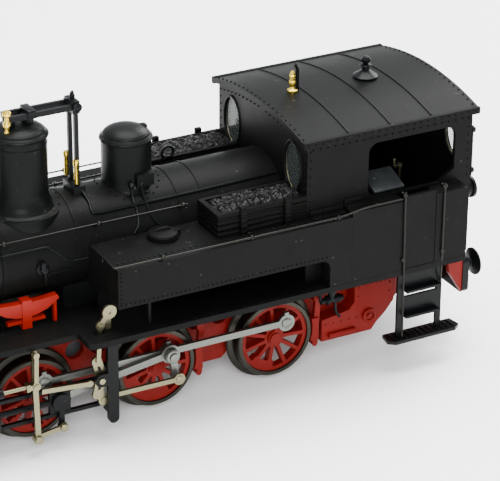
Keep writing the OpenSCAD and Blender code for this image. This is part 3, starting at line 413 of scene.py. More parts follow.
# %% [markdown]
# The coal boxes are moulded with a wood grain and painted nearly black. The grain is a wave whose
# lines run along the planks, about three quarters of a millimetre apart, bent by a noise.

# %% Dark boards
GRAIN_STRETCH, GRAIN_SCALE = (0.12, 1, 1), 420
BOARD_ROUGH, BOARD_GLOSS = 0.55, 0.05


def boards(name, code, code_dark):
    """Dark painted boards with a raised grain along X."""
    material, place = start(name)
    stretched = add(material, "ShaderNodeMapping", {"Vector": place, "Scale": GRAIN_STRETCH})
    grain = add(
        material,
        "ShaderNodeTexWave",
        {
            "Vector": stretched.outputs[0],
            "Scale": GRAIN_SCALE,
            "Distortion": 7,
            "Detail": 3,
            "Detail Scale": 1.6,
        },
        wave_type="BANDS",
        bands_direction="Z",
    )
    tint = mix(material, grain.outputs["Fac"], linear(code_dark), linear(code))
    relief = add(
        material,
        "ShaderNodeBump",
        {"Height": grain.outputs["Fac"], "Strength": 0.6, "Distance": 0.1 * MM},
    )
    shader = add(
        material,
        "ShaderNodeBsdfPrincipled",
        {
            "Base Color": tint.outputs[2],
            "Roughness": BOARD_ROUGH,
            "IOR": PLASTIC_IOR,
            "Specular IOR Level": BOARD_GLOSS,
            "Normal": relief.outputs[0],
        },
    )
    return end(material, shader)


DARK_BOARDS = boards("dark stained boards", "#0d0c0b", "#050505")

# %% [markdown]
# The windows are pressed from clear polystyrene, thin, and tinted dark grey: painted shade that
# darkens the view into the cab. Coal is crushed grit that glints on its broken faces, so it is
# glossier and more uneven than the paint round it.

# %% Clear plastic and coal
def clear_plastic(name, code, cover):
    """Clear thin plastic: a colour over a share of what lies behind it, a sheen when pale and
    painted shade when dark.
    """
    material, _ = start(name)
    shader = add(
        material,
        "ShaderNodeBsdfPrincipled",
        {"Base Color": linear(code), "Roughness": 0.1, "IOR": 1.49, "Alpha": cover},
    )
    return end(material, shader)


# The windows' dark grey veil is painted shade: it darkens the cab's inside as seen through the
# panes.
WINDOW_WITH_PAINTED_SHADE = clear_plastic("clear polystyrene", "#3a403e", 0.45)
LENS = clear_plastic("clear polystyrene lens", "#9aa09d", 0.85)
COAL = varnished("crushed coal", "#060607", 0.4, cloud=0.22, dust=0.05, grain=0.4, gloss=0.1)

# %% [markdown]
# Every CAD node now gets the finish of the slot that the record names for it.

# %% Dress the CAD nodes
FINISH = {
    "body_black": BODY_BLACK,
    "smokebox_black": SMOKEBOX_BLACK,
    "trim_black": TRIM_BLACK,
    "frame_red": FRAME_RED,
    "spring_red": SPRING_RED,
    "nickel": NICKEL,
    "rod_steel": ROD_STEEL,
    "tyre_steel": TYRE_STEEL,
    "brass": BRASS,
    "motor_grey": MOTOR_GREY,
    "box_wood": DARK_BOARDS,
    "coal_black": COAL,
    "window_clear": WINDOW_WITH_PAINTED_SHADE,
}
for part in frame["record"]["subparts"]:
    node = frame["nodes"][part["node"]]
    node.data.materials.clear()
    node.data.materials.append(FINISH[part["material_slot"]])
print(len(frame["nodes"]), "nodes dressed")


SMOOTH_BELOW = math.radians(35)


def dress(obj, slot, material=None, body="locomotive"):
    """Smooths a finished piece, gives it its slot's finish or another, and fixes it to a body."""
    only(obj)
    bpy.ops.object.mode_set(mode="EDIT")
    bpy.ops.mesh.select_all(action="SELECT")
    bpy.ops.mesh.normals_make_consistent(inside=False)
    bpy.ops.object.mode_set(mode="OBJECT")
    bpy.ops.object.shade_smooth_by_angle(angle=SMOOTH_BELOW)
    obj.data.materials.clear()
    obj.data.materials.append(material or FINISH[slot])
    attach(obj, body)
    return obj


# %% [markdown]
# Rivets hold a real tank and cab together, and on the model they are moulded as tiny domes. One
# domed head of eight sides is enough for all of them.

# %% Rivet rows
HEAD_PITCH = 1.05


def row(a, b, spacing, out):
    """Evenly spaced (place, out) spots from a to b, about spacing mm apart."""
    n = max(1, round((b - a).length / (spacing * MM)))
    return [(a.lerp(b, i / n), out) for i in range(n + 1)]


def rivet(radius=0.2):
    """One rivet head standing on the origin."""
    head = [(radius, -0.06), (radius, 0.05), (radius * 0.82, 0.13), (radius * 0.35, 0.18)]
    return turned("rivet", head, sides=8)


TANK_Y, TANK_TOP = 18.4, 30.6
TOP_ROW_FRONT, SIDE_ROW_FRONT, SIDE_ROW_Z = 9.6, 10.1, 24.5
Z_UP = Vector((0, 0, 1))
Y_OUT = Vector((0, 1, 0))
X_FRONT = Vector((1, 0, 0))
top_rows = []
for x, y in ((-30.6, 16.1), (-7.2, 8.9)):
    top_rows += row(at(x, y, TANK_TOP), at(TOP_ROW_FRONT, y, TANK_TOP), HEAD_PITCH, Z_UP)
dress(both_sides(copies("tank_top_rivets", rivet(0.2), top_rows)), "body_black")
corner = at(SIDE_ROW_FRONT, TANK_Y, SIDE_ROW_Z)
side_rows = row(at(-26.6, TANK_Y, SIDE_ROW_Z), corner, 0.8, Y_OUT)
side_rows += row(at(SIDE_ROW_FRONT, TANK_Y, 24.9), at(SIDE_ROW_FRONT, TANK_Y, 30.1), 0.8, Y_OUT)
dress(both_sides(copies("tank_side_rivets", rivet(0.13), side_rows)), "body_black")
print("tank rivets", len(top_rows) + len(side_rows), "a side")

# %% [markdown]
# The cab's sheets are riveted to angles along the roof line, down both corners and at the ledge
# over the tank. The roof's rivets follow its curve, so their heads lean outwards with it.

# %% Cab and roof rivets
ROOF_HALF, EAVE_Z, ROOF_RISE, ROOF_T = 16.0, 43.0, 2.2, 0.8
ROOF_RADIUS = (ROOF_RISE**2 + ROOF_HALF**2) / (2 * ROOF_RISE)
ROOF_CENTRE = EAVE_Z + ROOF_RISE - ROOF_RADIUS
ROOF_REAR, ROOF_FRONT = -56.5, -23.5
CAB_Y, CAB_FRONT, CAB_REAR = 15.2, -24.5, -55.6
CORNER_Y, EAVE_ROW_Z, WALL_PITCH = 14.6, 43.6, 1.35


def on_roof(x, y, above=0.0):
    """The place on the roof's outside at x and y, and the direction it faces."""
    out = Vector((0, y, math.sqrt((ROOF_RADIUS + ROOF_T) ** 2 - y * y))).normalized()
    r = ROOF_RADIUS + ROOF_T + above
    return at(x, out.y * r, ROOF_CENTRE + out.z * r), out


roof_spots = []
for x in (ROOF_FRONT - 0.6, ROOF_REAR + 0.6):
    roof_spots += [on_roof(x, i * 1.45) for i in range(-10, 11)]
eave_ends = [at(x, ROOF_HALF, EAVE_ROW_Z) for x in (ROOF_REAR + 0.8, ROOF_FRONT - 0.8)]
eave_spots = row(*eave_ends, 1.3, Y_OUT)
dress(copies("roof_end_rivets", rivet(0.17), roof_spots), "body_black")
dress(both_sides(copies("eave_rivets", rivet(0.15), eave_spots)), "body_black")
wall_spots = []
for x, out in ((CAB_FRONT, X_FRONT), (CAB_REAR, -X_FRONT)):
    wall_spots += row(at(x, CORNER_Y, 31.6), at(x, CORNER_Y, 42.2), WALL_PITCH, out)
    for i in range(1, 11):
        y = CORNER_Y * i / 11
        z = ROOF_CENTRE + math.sqrt((ROOF_RADIUS - 1.2) ** 2 - y * y)
        wall_spots.append((at(x, y, z), out))
for x in (-55, -25.1):
    wall_spots += row(at(x, CAB_Y, 32), at(x, CAB_Y, 42), WALL_PITCH, Y_OUT)
wall_spots += row(at(-25.6, CAB_Y, 42.3), at(-55, CAB_Y, 42.3), WALL_PITCH, Y_OUT)
dress(both_sides(copies("cab_wall_rivets", rivet(0.14), wall_spots)), "body_black")
print("cab rivets", len(roof_spots) + len(eave_spots) + len(wall_spots))

# %% [markdown]
# The roof is made of sheets. Each joint shows as a thin raised strip that bends with the roof, so a
# wire is laid along the curve and half sunk in it. A riveted angle runs along the cab's foot, where
# it stands on the tank.

# %% Roof seams and the angle at the cab's foot
for i, x in enumerate((-32.0, -39.8, -47.6)):
    strip = [on_roof(x, k * 1.5, 0.02)[0] for k in range(-10, 11)]
    dress(wire(f"roof_seam_{i + 1}", strip, 0.3, bend=0.1), "body_black")
ANGLE_Y, ANGLE_SIDE, ANGLE_EDGE = 15.15, 15.5, 16.6
strips = []
for x0, x1, z in ((-31.2, -25.0, 30.6), (-34.6, -31.4, 31.4)):
    strips.append(bar("flat", at(x0, ANGLE_Y, z - 0.05), at(x1, ANGLE_EDGE, z + 0.25), 0.06))
    strips.append(bar("upright", at(x0, ANGLE_Y, z), at(x1, ANGLE_SIDE, z + 1.2), 0.06))
    heads = []
    for y, rise, out in ((16.05, 0.25, Z_UP), (ANGLE_SIDE, 0.75, Y_OUT)):
        heads += row(at(x0 + 0.5, y, z + rise), at(x1 - 0.5, y, z + rise), HEAD_PITCH, out)
    strips.append(copies("heads", rivet(0.15), heads))
dress(both_sides(join("cab_foot_angle", strips)), "body_black")

# %% [markdown]
# Each oval window has a thin frame round it. An ellipse of wire is drawn point by point, then
# turned into a tube as the handrails are. A thinner ring of bright nickel on the glazing's edge is
# a painted highlight, the gleam of light along the clear pane's rim.

# %% Window frames
OVAL_Y, OVAL_Z, OVAL_W, OVAL_H = 10.4, 38.0, 2.7, 4.25


def around(steps):
    """Angles once round a circle, the last one on the first."""
    return [math.tau * i / steps for i in range(steps + 1)]


def oval_ring(name, x, grow, thick):
    """A wire round an oval window at x, larger by grow mm."""
    ring = [
        at(x, OVAL_Y + (OVAL_W + grow) * math.cos(a), OVAL_Z + (OVAL_H + grow) * math.sin(a))
        for a in around(40)
    ]
    return wire(name, ring, thick, bend=0.05)


for label, x, inward in (("front", CAB_FRONT, -0.3), ("rear", CAB_REAR, 0.3)):
    dress(both_sides(oval_ring(f"{label}_window_frames", x, 0.1, 0.45)), "body_black")
    # the glazing's edge is painted bright: a nickel ring stands in for light catching the pane's
    # rim
    edge_highlights = oval_ring(f"{label}_window_edge_highlights", x + inward, -0.1, 0.22)
    dress(both_sides(edge_highlights), "window_clear", NICKEL)
print("window frames made")

# %% [markdown]
# The boiler is clad in sheets held by thin bands. A band is a short ring turned a little wider than
# the barrel, with its edges broken. The smokebox is riveted along its two end seams.

# %% Boiler bands
BOILER_R, BOILER_Z = 7.9, 29.0
BAND_R, SMOKEBOX_R = BOILER_R + 0.12, 8.2


def band(name, x, wide):
    """A thin flat ring round the boiler, wide mm wide."""
    rings = [(BAND_R, -wide / 2), (BAND_R, wide / 2)]
    ring = turned(name, rings, at(x, 0, BOILER_Z), FORWARD, sides=96)
    return use_modifier(ring, "BEVEL", width=0.04 * MM, segments=1, limit_method="ANGLE")


for i, (x, wide) in enumerate(((12.0, 0.7), (-6.4, 0.7), (-10.4, 0.4), (24.9, 0.9))):
    dress(band(f"boiler_band_{i + 1}", x, wide), "body_black")
seam_heads = []
for k in range(-9, 10):
    a = math.radians(10 * k)
    out = Vector((0, math.sin(a), math.cos(a)))
    for x in (26.2, 38.4):
        place = at(x, SMOKEBOX_R * math.sin(a), BOILER_Z + SMOKEBOX_R * math.cos(a))
        seam_heads.append((place, out))
dress(copies("smokebox_rivets", rivet(0.16), seam_heads), "smokebox_black")

# %% [markdown]
# The smokebox door is a dished plate. Clamps hold its rim, two straps run from the hinge post over
# the dish, and a handle crosses the one that the CAD part has on its middle.

# %% Smokebox door
DOOR_X, CLAMP_RING = 39.2, 7.0
CLAMP = [(0.5, -0.1), (0.5, 0.35), (0.3, 0.5), (0.3, 0.8), (0.12, 0.9)]
HINGE_POST = [(0.45, 0), (0.45, 6.4), (0.25, 6.7)]
STRAP = [(0.7, -7.7), (1.0, -6.4), (1.65, -4.3), (2.0, -1.6)]
clamp = turned("clamp", CLAMP, sides=10)
clamps = []
for k in range(8):
    a = math.tau * (k + 0.5) / 8
    y, z = CLAMP_RING * math.cos(a), BOILER_Z + CLAMP_RING * math.sin(a)
    clamps.append((at(DOOR_X + 0.6, y, z), X_FRONT))
door = [copies("clamps", clamp, clamps)]
door.append(turned("hinge_post", HINGE_POST, at(DOOR_X + 0.7, -7.7, 25.8), UP, 12))
for z in (27.0, 31.0):
    door.append(wire("strap", [at(DOOR_X + x, y, z) for x, y in STRAP], 0.55, 0.5))
handle = [at(42.0, 0, BOILER_Z), at(42.3, 1.2, 28.4), at(42.3, 2.4, 27.6)]
door.append(wire("handle", handle, 0.4, 0.3))
dress(join("door_fittings", door), "smokebox_black")

# %% [markdown]
# A handrail runs along each side of the boiler through small turned knobs. The knob is a ball on a
# waisted stem, screwed square into the boiler.

# %% Boiler handrails
RAIL_Y, RAIL_H = 8.35, 34.2


def knob(name, place, out, reach=1.0, ball=0.42):
    """A handrail knob whose ball is centred on place and whose stem goes back along out."""
    rings = [(0.28, -reach - 0.2), (0.16, -reach + 0.15), (0.15, -ball)]
    for degrees in (-55, -20, 20, 55, 80):
        a = math.radians(degrees)
        rings.append((ball * math.cos(a), ball * math.sin(a)))
    piece = turned(name, rings, sides=12)
    turn = Z_UP.rotation_difference(Vector(out)).to_matrix().to_4x4()
    piece.data.transform(Matrix.Translation(place) @ turn)
    return piece


radial = Vector((0, RAIL_Y, RAIL_H - BOILER_Z)).normalized()
knobs = [knob("knob", at(x, RAIL_Y, RAIL_H), radial, 1.9) for x in (36.0, 25.2, 9.0, -5.8)]
rail = wire("rail", [at(37.0, RAIL_Y, RAIL_H), at(-6.6, RAIL_Y, RAIL_H)], 0.32)
dress(both_sides(join("boiler_handrails", knobs + [rail])), "nickel", RAIL_WIRE)
print("boiler handrails made")

# %% [markdown]
# Pipes: sand runs down from the sand dome in two pipes a side, steam goes back to the cab along the
# top of the boiler, and water comes forward to a check valve lower down.

# %% Pipes along the boiler
def hugging(x, y, z, lift=0.15):
    """The place over the boiler's skin nearest to y and z, lift mm clear."""
    out = Vector((0, y, z - BOILER_Z)).normalized()
    r = BOILER_R + lift
    return at(x, out.y * r, BOILER_Z + out.z * r)


FRONT_SAND = [at(1.5, 4.3, 38.0), hugging(1.5, 5.0, 35.2), hugging(1.4, 6.4, 33.9),
              hugging(1.7, 7.6, 31.9), hugging(2.7, 7.9, 30.9)]
REAR_SAND = [at(-0.25, 4.3, 37.8), hugging(-0.5, 5.2, 35.2), hugging(-0.5, 6.6, 33.9),
             hugging(-1.2, 7.6, 31.9), hugging(-2.5, 7.9, 30.9)]
UNION = [(0.42, -0.3), (0.5, -0.1), (0.5, 0.25), (0.3, 0.45)]
THIN_PIPE, THICK_PIPE = 0.42, 0.5
sand = [wire("front_sand_pipe", FRONT_SAND, THIN_PIPE)]
sand.append(wire("rear_sand_pipe", REAR_SAND, THIN_PIPE))
sand += [turned("union", UNION, at(x, 4.45, 37.5), (-40, 0, 0), 6) for x in (1.5, -0.25)]
dress(both_sides(join("sand_pipes", sand)), "trim_black")
upper = [at(8.9, 2.0, 37.2), hugging(8.6, 3.9, 36.2), hugging(8.9, 5.6, 34.9),
         hugging(7.6, 5.8, 34.7), hugging(-10, 5.7, 34.8), hugging(CAB_FRONT + 0.2, 5.5, 35.0)]
lower = [hugging(25.5, 7.6, 31.7), hugging(17.4, 7.6, 31.7), hugging(13.9, 8.1, 28.5),
         hugging(10.9, 8.1, 28.5)]
foot_line = [hugging(17.6, 7.8, 27.0, 0.05), hugging(10.8, 7.8, 27.0, 0.05)]
pipes = [wire("upper_pipe", upper, THICK_PIPE), wire("lower_pipe", lower, THIN_PIPE)]
pipes.append(wire("foot_line", foot_line, 0.3))
dress(both_sides(join("boiler_pipes", pipes)), "trim_black")

# %% [markdown]
# The check valve is a cast body with a bolted flange, a nut on top and a pipe that leaves
# downwards.

# %% Check valves
VALVE_X, VALVE_Z, BOLT_RING = 18.7, 28.4, 0.82
FLANGE = [(1.05, 0), (1.05, 0.35), (0.7, 0.45), (0.7, 1.0), (0.45, 1.25)]
VALVE_CAP = [(0.62, -0.6), (0.62, 0.5), (0.4, 0.75)]
drop = [at(VALVE_X, 8.6, VALVE_Z), at(18.4, 8.5, 26.4), at(18.1, 7.6, 25.2)]
valve = [
    turned("flange", FLANGE, at(VALVE_X, 7.85, VALVE_Z), LEFT),
    turned("cap", VALVE_CAP, at(VALVE_X, 8.6, 28.9), UP, 6),
    wire("drop", drop, THICK_PIPE),
]
bolts = []
for k in range(6):
    a = math.radians(60 * k + 30)
    place = at(VALVE_X + BOLT_RING * math.cos(a), 8.2, VALVE_Z + BOLT_RING * math.sin(a))
    bolts.append((place, Y_OUT))
valve.append(copies("bolts", rivet(0.16), bolts))
dress(both_sides(join("check_valves", valve)), "trim_black")
print("pipes and valves made")

# %% [markdown]
# The tank's handrail starts beside the boiler, bends round the tank's front corner and runs back to
# the cab door, where it rises to the door's own handrail. Small brackets hold it over the edge.

# %% Tank handrails
RAIL_OUT, RAIL_TOP = 18.6, 31.3
rail_path = [at(11.1, 13.9, 30.4), at(11.1, 13.9, RAIL_TOP), at(11.4, RAIL_OUT, RAIL_TOP),
             at(-29.0, RAIL_OUT, RAIL_TOP), at(-34.0, 18.5, 31.9), at(-40.6, RAIL_OUT, 32.0)]
tank_rail = wire("tank_handrails", rail_path, 0.3, bend=0.7)
brackets = []
rail_knobs = []
for x in (2.9, -12.8, -28.6):
    foot = at(x, 17.7, TANK_TOP - 0.1)
    brackets.append(
        wire("bracket", [foot, at(x, 17.7, RAIL_TOP), at(x, RAIL_OUT, RAIL_TOP)], 0.55, 0.3)
    )
    brackets.append(turned("pad", [(0.55, 0), (0.55, 0.25), (0.35, 0.4)], foot, UP, 12))
    rail_knobs.append(knob("rail_knob", at(x, 18.5, RAIL_TOP), (0, 0.55, 0.83), 0.8, 0.42))
dress(both_sides(join("tank_rail_knobs", rail_knobs)), "nickel", RAIL_WIRE)
dress(both_sides(join("tank_rail_brackets", brackets)), "trim_black")
dress(both_sides(tank_rail), "nickel", RAIL_WIRE)

# %% [markdown]
# Beside the door stand two upright handrails with a knob at each end. The front one goes on down to
# the lowest step. Two more stand on the cab's rear wall.

# %% Door handrails
POST_THICK, POST_BEND = 0.36, 1.5
front_post = [at(-41.0, 18.65, 33.2), at(-41.1, 18.7, 21.0), at(-41.6, 18.1, 6.3)]
rear_post = [at(-48.6, 18.65, 33.2), at(-48.5, 18.7, 20.6), at(-49.4, 17.1, 14.2)]
posts = [
    wire("front_post", front_post, POST_THICK, bend=POST_BEND),
    wire("rear_post", rear_post, POST_THICK, bend=POST_BEND),
]
for x in (-41.0, -48.6):
    posts += [knob("post_knob", at(x, 18.5, z), Y_OUT, 0.6, 0.44) for z in (32.6, 20.9)]
dress(both_sides(join("door_handrails", posts)), "nickel", RAIL_WIRE)
rear_rail = [wire("rear_rail", [at(-56.6, 13.9, 40.0), at(-56.6, 13.9, 31.0)], POST_THICK)]
rear_rail += [knob("rear_knob", at(-56.6, 13.9, z), -X_FRONT, 1.0, 0.6) for z in (39.3, 32.0)]
dress(both_sides(join("rear_handrails", rear_rail)), "nickel", RAIL_WIRE)
print("handrails made")

# %% [markdown]
# Coal is a heap of broken lumps. A ball of twenty flat faces with one side sliced off is one lump;
# a few hundred copies of three such lumps, each turned by its own amount, fill the two boxes.

# %% Coal
BOX_FRONT, BOX_IN, BOX_OUT, BOX_H = -8.4, 8.4, 15.3, 4.1
LUMPS = 540
LUMP_KINDS = ((0.9, (1, 0.75, 0.6)), (0.75, (0.8, 1, 0.7)), (0.6, (1, 0.6, 0.9)))


def lump(size, squeeze):
    """One broken lump of coal."""
    deselect()
    bpy.ops.mesh.primitive_ico_sphere_add(subdivisions=1, radius=size * MM)
    obj = bpy.context.object
    obj.scale = squeeze
    bpy.ops.object.transform_apply(scale=True)
    bpy.ops.object.mode_set(mode="EDIT")
    bpy.ops.mesh.select_all(action="SELECT")
    cut = (size * MM * 0.45, 0, 0)
    bpy.ops.mesh.bisect(plane_co=cut, plane_no=(1, 0.3, 0.2), use_fill=True, clear_outer=True)
    bpy.ops.object.mode_set(mode="OBJECT")
    return obj


heap = []
for kind, (size, squeeze) in enumerate(LUMP_KINDS):
    spots = []
    for i in range(kind, LUMPS, len(LUMP_KINDS)):
        # steps by uneven shares spread the lumps evenly and without a pattern
        u, v, w = (i * 0.7549) % 1, (i * 0.5698) % 1, (i * 0.3819) % 1
        x = CAB_FRONT + 0.6 + u * (BOX_FRONT - CAB_FRONT - 1.9)
        y = BOX_IN + 1.1 + v * (BOX_OUT - BOX_IN - 2.3)
        rise = 0.8 * (math.sin(math.pi * u) * math.sin(math.pi * v)) ** 0.4
        out = Vector((math.sin(9 * w), math.cos(23 * w), 0.4 + w))
        spots.append((at(x, y, TANK_TOP + BOX_H - 0.5 + 0.6 * rise - 0.35 * w), out))
    heap.append(copies("lumps", lump(size, squeeze), spots))
coal = both_sides(join("coal", heap))
dress(coal, "coal_black")
bpy.ops.object.shade_flat()
print("coal faces", len(coal.data.polygons))

# %% [markdown]
# The boxes are built of boards. Thin dark gaps between the planks show best when the boards stand a
# hair proud, so each board is its own bar laid over the moulded box.

# %% Coal box boards
PLANKS, PROUD = 4, 0.12
planks = []
for k in range(PLANKS):
    z0 = TANK_TOP + 0.05 + k * BOX_H / PLANKS
    z1 = TANK_TOP - 0.02 + (k + 1) * BOX_H / PLANKS
    side = at(CAB_FRONT + 0.15, BOX_OUT - 0.3, z0), at(BOX_FRONT, BOX_OUT + PROUD, z1)
    front = at(BOX_FRONT - 0.3, BOX_IN, z0), at(BOX_FRONT + PROUD, BOX_OUT + 0.1, z1)
    planks.append(bar("side_board", *side, 0.08))
    planks.append(bar("front_board", *front, 0.08))
for f in (0.3, 0.8):
    x = BOX_FRONT + (CAB_FRONT + 0.1 - BOX_FRONT) * f
    top = at(x + 1.05, BOX_OUT + 0.75, TANK_TOP + BOX_H + 0.7)
    planks.append(bar("stake", at(x - 0.05, BOX_OUT, TANK_TOP), top, 0.1))
dress(both_sides(join("coal_box_boards", planks)), "box_wood")

# %% [markdown]
# Each filler has a lid, and the lid gets a domed plate with a grip. The right coal box also carries
# a lifting ring on its inner wall.

# %% Filler lids and lifting ring
FILLER_Y, GRIP_TOP = 10.6, TANK_TOP + 1.5
LID = [(2.5, 0), (2.5, 0.5), (2.3, 0.75), (1.4, 0.95), (0.5, 1.0)]
grip = [at(-2.4, FILLER_Y, TANK_TOP + 1.0), at(-1.9, FILLER_Y, GRIP_TOP),
        at(-0.2, FILLER_Y, GRIP_TOP), at(0.4, FILLER_Y, TANK_TOP + 1.0)]
lid = [turned("lid", LID, at(-1, FILLER_Y, TANK_TOP + 0.2), UP, 40)]
lid.append(wire("lid_grip", grip, 0.3, 0.4))
dress(both_sides(join("filler_lid_tops", lid)), "body_black")
LIFT_X, LIFT_Z, LIFT_R = -11.5, 35.5, 1.05
ring_path = [
    at(LIFT_X + LIFT_R * math.cos(a), -8.75, LIFT_Z + LIFT_R * math.sin(a)) for a in around(24)
]
lug = at(-12.1, -9.1, 34.2), at(-10.9, -8.4, 34.9)
lifting_ring = join("lifting_ring", [wire("ring", ring_path, 0.5, 0.05), bar("lug", *lug, 0.1)])
dress(lifting_ring, "trim_black")

# %% [markdown]
# The safety valve is worked by two long levers over the steam dome, held down by spring balances.
# The tubes of the balances and the small valve on the dome are bare brass.

# %% Brass fittings of the safety valve
BALANCE = [(0.34, 0), (0.42, 0.3), (0.42, 3.2), (0.52, 3.4), (0.52, 3.9), (0.3, 4.2)]
DOME_VALVE = [(0.6, 0), (0.6, 0.5), (0.38, 0.8), (0.38, 1.3), (0.62, 1.7), (0.62, 2.2),
              (0.36, 2.6), (0.36, 3.1), (0.72, 3.5), (0.72, 3.9), (0.4, 4.25)]
PIVOT = [(0.75, 0), (0.75, 0.5), (0.45, 0.7)]
LEVER_NUT = [(0.4, 0), (0.4, 0.5), (0.22, 0.7), (0.22, 1.1)]
VALVE_SEAT = [(0.95, 0), (0.95, 0.4), (0.7, 0.5), (0.7, 1.1)]
LEVER_X = 9.3
for name, y in (("tube", 1.9), ("far_tube", -1.9)):
    dress(turned(name, BALANCE, at(9.8, y, 38.6), UP, 16), "brass")
dress(turned("dome_valve", DOME_VALVE, at(21.1, 1.5, 48.9), UP, 16), "brass")
lever_bits = [
    turned("pivot", PIVOT, at(LEVER_X, 1.5, 51.5), LEFT, 16),
    turned("pivot", PIVOT, at(LEVER_X, -1.5, 51.5), RIGHT, 16),
    bar("saddle", at(16.2, -1.7, 51.2), at(17.6, 1.7, 52.4), 0.2),
    turned("nut", LEVER_NUT, at(LEVER_X, 0, 52.6), UP, 6),
]
lever_bits += [turned("seat", VALVE_SEAT, at(x, 0, 50.0), UP, 16) for x in (17.0, 20.2)]
dress(join("safety_valve_fittings", lever_bits), "trim_black")
print("safety valve dressed")

# %% [markdown]
# Domes are spun from sheet: a raised bead runs round the shoulder, and rivets hold the flared foot.

# %% Dome beads
STEAM_DOME_X, SAND_DOME_X, FOOT_RIVETS = 18.6, 0.2, 24


def bead(name, x, r, z, thick):
    """A round bead about a dome."""
    ring = [at(x + r * math.cos(a), r * math.sin(a), z) for a in around(48)]
    return wire(name, ring, thick, bend=0.05)


dress(bead("steam_dome_bead", STEAM_DOME_X, 4.5, 48.3, 0.45), "smokebox_black")
dress(bead("steam_dome_joint", STEAM_DOME_X, 4.4, 46.9, 0.18), "smokebox_black")
dress(bead("sand_dome_bead", SAND_DOME_X, 4.15, 44.1, 0.4), "smokebox_black")
foot_heads = []
for x, r in ((STEAM_DOME_X, 6.0), (SAND_DOME_X, 5.2)):
    for k in range(FOOT_RIVETS):
        a = math.tau * k / FOOT_RIVETS
        side_y = r * math.sin(a)
        if abs(side_y) < BOILER_R - 0.5:
            out = Vector((0, side_y, math.sqrt(BOILER_R**2 - side_y**2))).normalized()
            skin_z = BOILER_Z + out.z * BOILER_R
            foot_heads.append((hugging(x + r * math.cos(a), side_y, skin_z, 0.02), out))
dress(copies("dome_foot_rivets", rivet(0.15), foot_heads), "smokebox_black")
hinge_bits = [
    bar("hinge", at(-3.4, -0.6, 45.0), at(-2.2, 0.6, 45.7), 0.15),
    bar("clip", at(3.6, -0.5, 43.9), at(4.6, 0.5, 44.6), 0.15),
]
dress(join("sand_dome_hinge", hinge_bits), "smokebox_black")

# %% [markdown]
# Crank pins end in nuts. The coupling rods end in capped bearings, and the valve gear's pins have
# wide heads. They move with their rods, so each set is fixed to its own body.

# %% Rod nuts and pin heads
PIN_HEAD = [(0.68, -0.12), (0.68, 0.22), (0.58, 0.32), (0.2, 0.34)]
AXLES_APART = 21.9
# forward and up in mm, at rest: return crank pin, link eye, lever's lower pin, crosshead's arm pin
PINS = {
    "left": ((-2.04, 6.28), (11.71, 6.4), (23.21, 2.2), (18.51, 2.9)),
    "right": ((0.62, 4.86), (14.24, 6.72), (21.89, 2.33), (17.19, 2.9)),
}
CRANK_PINS = {"left": (-1.54, 9.93), "right": (-3.03, 5.36)}
# outer face of the return crank's plate, in mm from the centre line
RETURN_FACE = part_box("left_main_rod")[1].y / MM + 0.9
NUT = [(1.15, 0), (1.15, 0.3), (0.95, 0.42), (0.8, 0.42), (0.75, 0.75), (0.25, 0.85)]
BEARING_CAP = [(0.95, -0.1), (0.95, 0.3), (0.75, 0.42), (0.3, 0.46)]
SPINDLE_PIN = (23.5, 11.95)


def heads_on(node, rings, pins, sides, sign, sunk=0.12):
    """Heads over pins on the outer face of a CAD node, in one piece."""
    low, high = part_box(node)
    face = (high.y if sign > 0 else low.y) / MM - sign * sunk
    spots = [(at(x, face, z), Vector((0, sign, 0))) for x, z in pins]
    return copies(f"{node}_heads", turned("head", rings, sides=sides), spots)


for side, sign in (("left", 1), ("right", -1)):
    crank, eye, low_pin, arm_pin = PINS[side]
    low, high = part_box(f"{side}_coupling_rod")
    rod_z = (low.z - RAIL_Z) / MM + 1.5
    middle = ((low.x + high.x) / 2 - AXLE_X) / MM
    caps = [(middle - AXLES_APART, rod_z), (middle + AXLES_APART, rod_z)]
    rows = [
        ("coupling_rod", BEARING_CAP, caps, 6, "rod_steel"),
        ("eccentric_rod", PIN_HEAD, [crank, eye], 14, "nickel"),
        ("combination_lever", PIN_HEAD, [SPINDLE_PIN, low_pin], 14, "nickel"),
        ("union_link", PIN_HEAD, [arm_pin], 14, "nickel"),
    ]
    for part, rings, pins, sides, slot in rows:
        piece = heads_on(f"{side}_{part}", rings, pins, sides, sign)
        dress(piece, slot, body=f"{side}_{part}")
    # the crank pin's nut sits on the return crank's plate, inside the box of its own pin
    crank_x, crank_z = CRANK_PINS[side]
    plate = at(crank_x, sign * (RETURN_FACE - 0.1), crank_z)
    nut = copies(f"{side}_crank_nut", turned("nut", NUT, sides=18), [(plate, Vector((0, sign, 0)))])
    dress(nut, "rod_steel", body="middle_wheelset")
print("pin heads made")

# %% [markdown]
# The frame plates behind the wheels carry rows of bolt heads and the gear that shakes out the ash
# pan, and the cab steps a ribbed plate. They catch small lights and show the size of things.

# %% Frame bolts, ash pan gear and step plates
PLATE_Y, BOLT_PITCH, PAN_Z = 9.3, 1.5, 6.6
frame_heads = []
for x, foot_z in ((-38.3, 10.4), (-44.4, 10.2)):
    frame_heads += row(at(x, PLATE_Y, 16.9), at(x, PLATE_Y, foot_z), BOLT_PITCH, Y_OUT)
frame_heads += row(at(-39.4, PLATE_Y, 12.4), at(-43.5, PLATE_Y, 12.4), 0.8, Y_OUT)
frame_heads += row(at(-32.0, PLATE_Y, PAN_Z), at(-38.0, PLATE_Y, PAN_Z), BOLT_PITCH, Y_OUT)
PAN_EYE = [(1.25, -0.1), (1.25, 0.45), (0.85, 0.55), (0.8, 0.3), (0.45, 0.3), (0.4, 0.6)]
pan_rod = wire("pan_rod", [at(-32.4, 9.55, 4.6), at(-37.6, 9.55, 4.6)], 0.9)
pan_eye = turned("pan_eye", PAN_EYE, at(-40.3, PLATE_Y, PAN_Z), LEFT, 20)
dress(both_sides(join("ash_pan_gear", [pan_rod, pan_eye])), "frame_red")
dress(both_sides(copies("frame_bolts", rivet(0.18), frame_heads)), "frame_red")
ribs = []
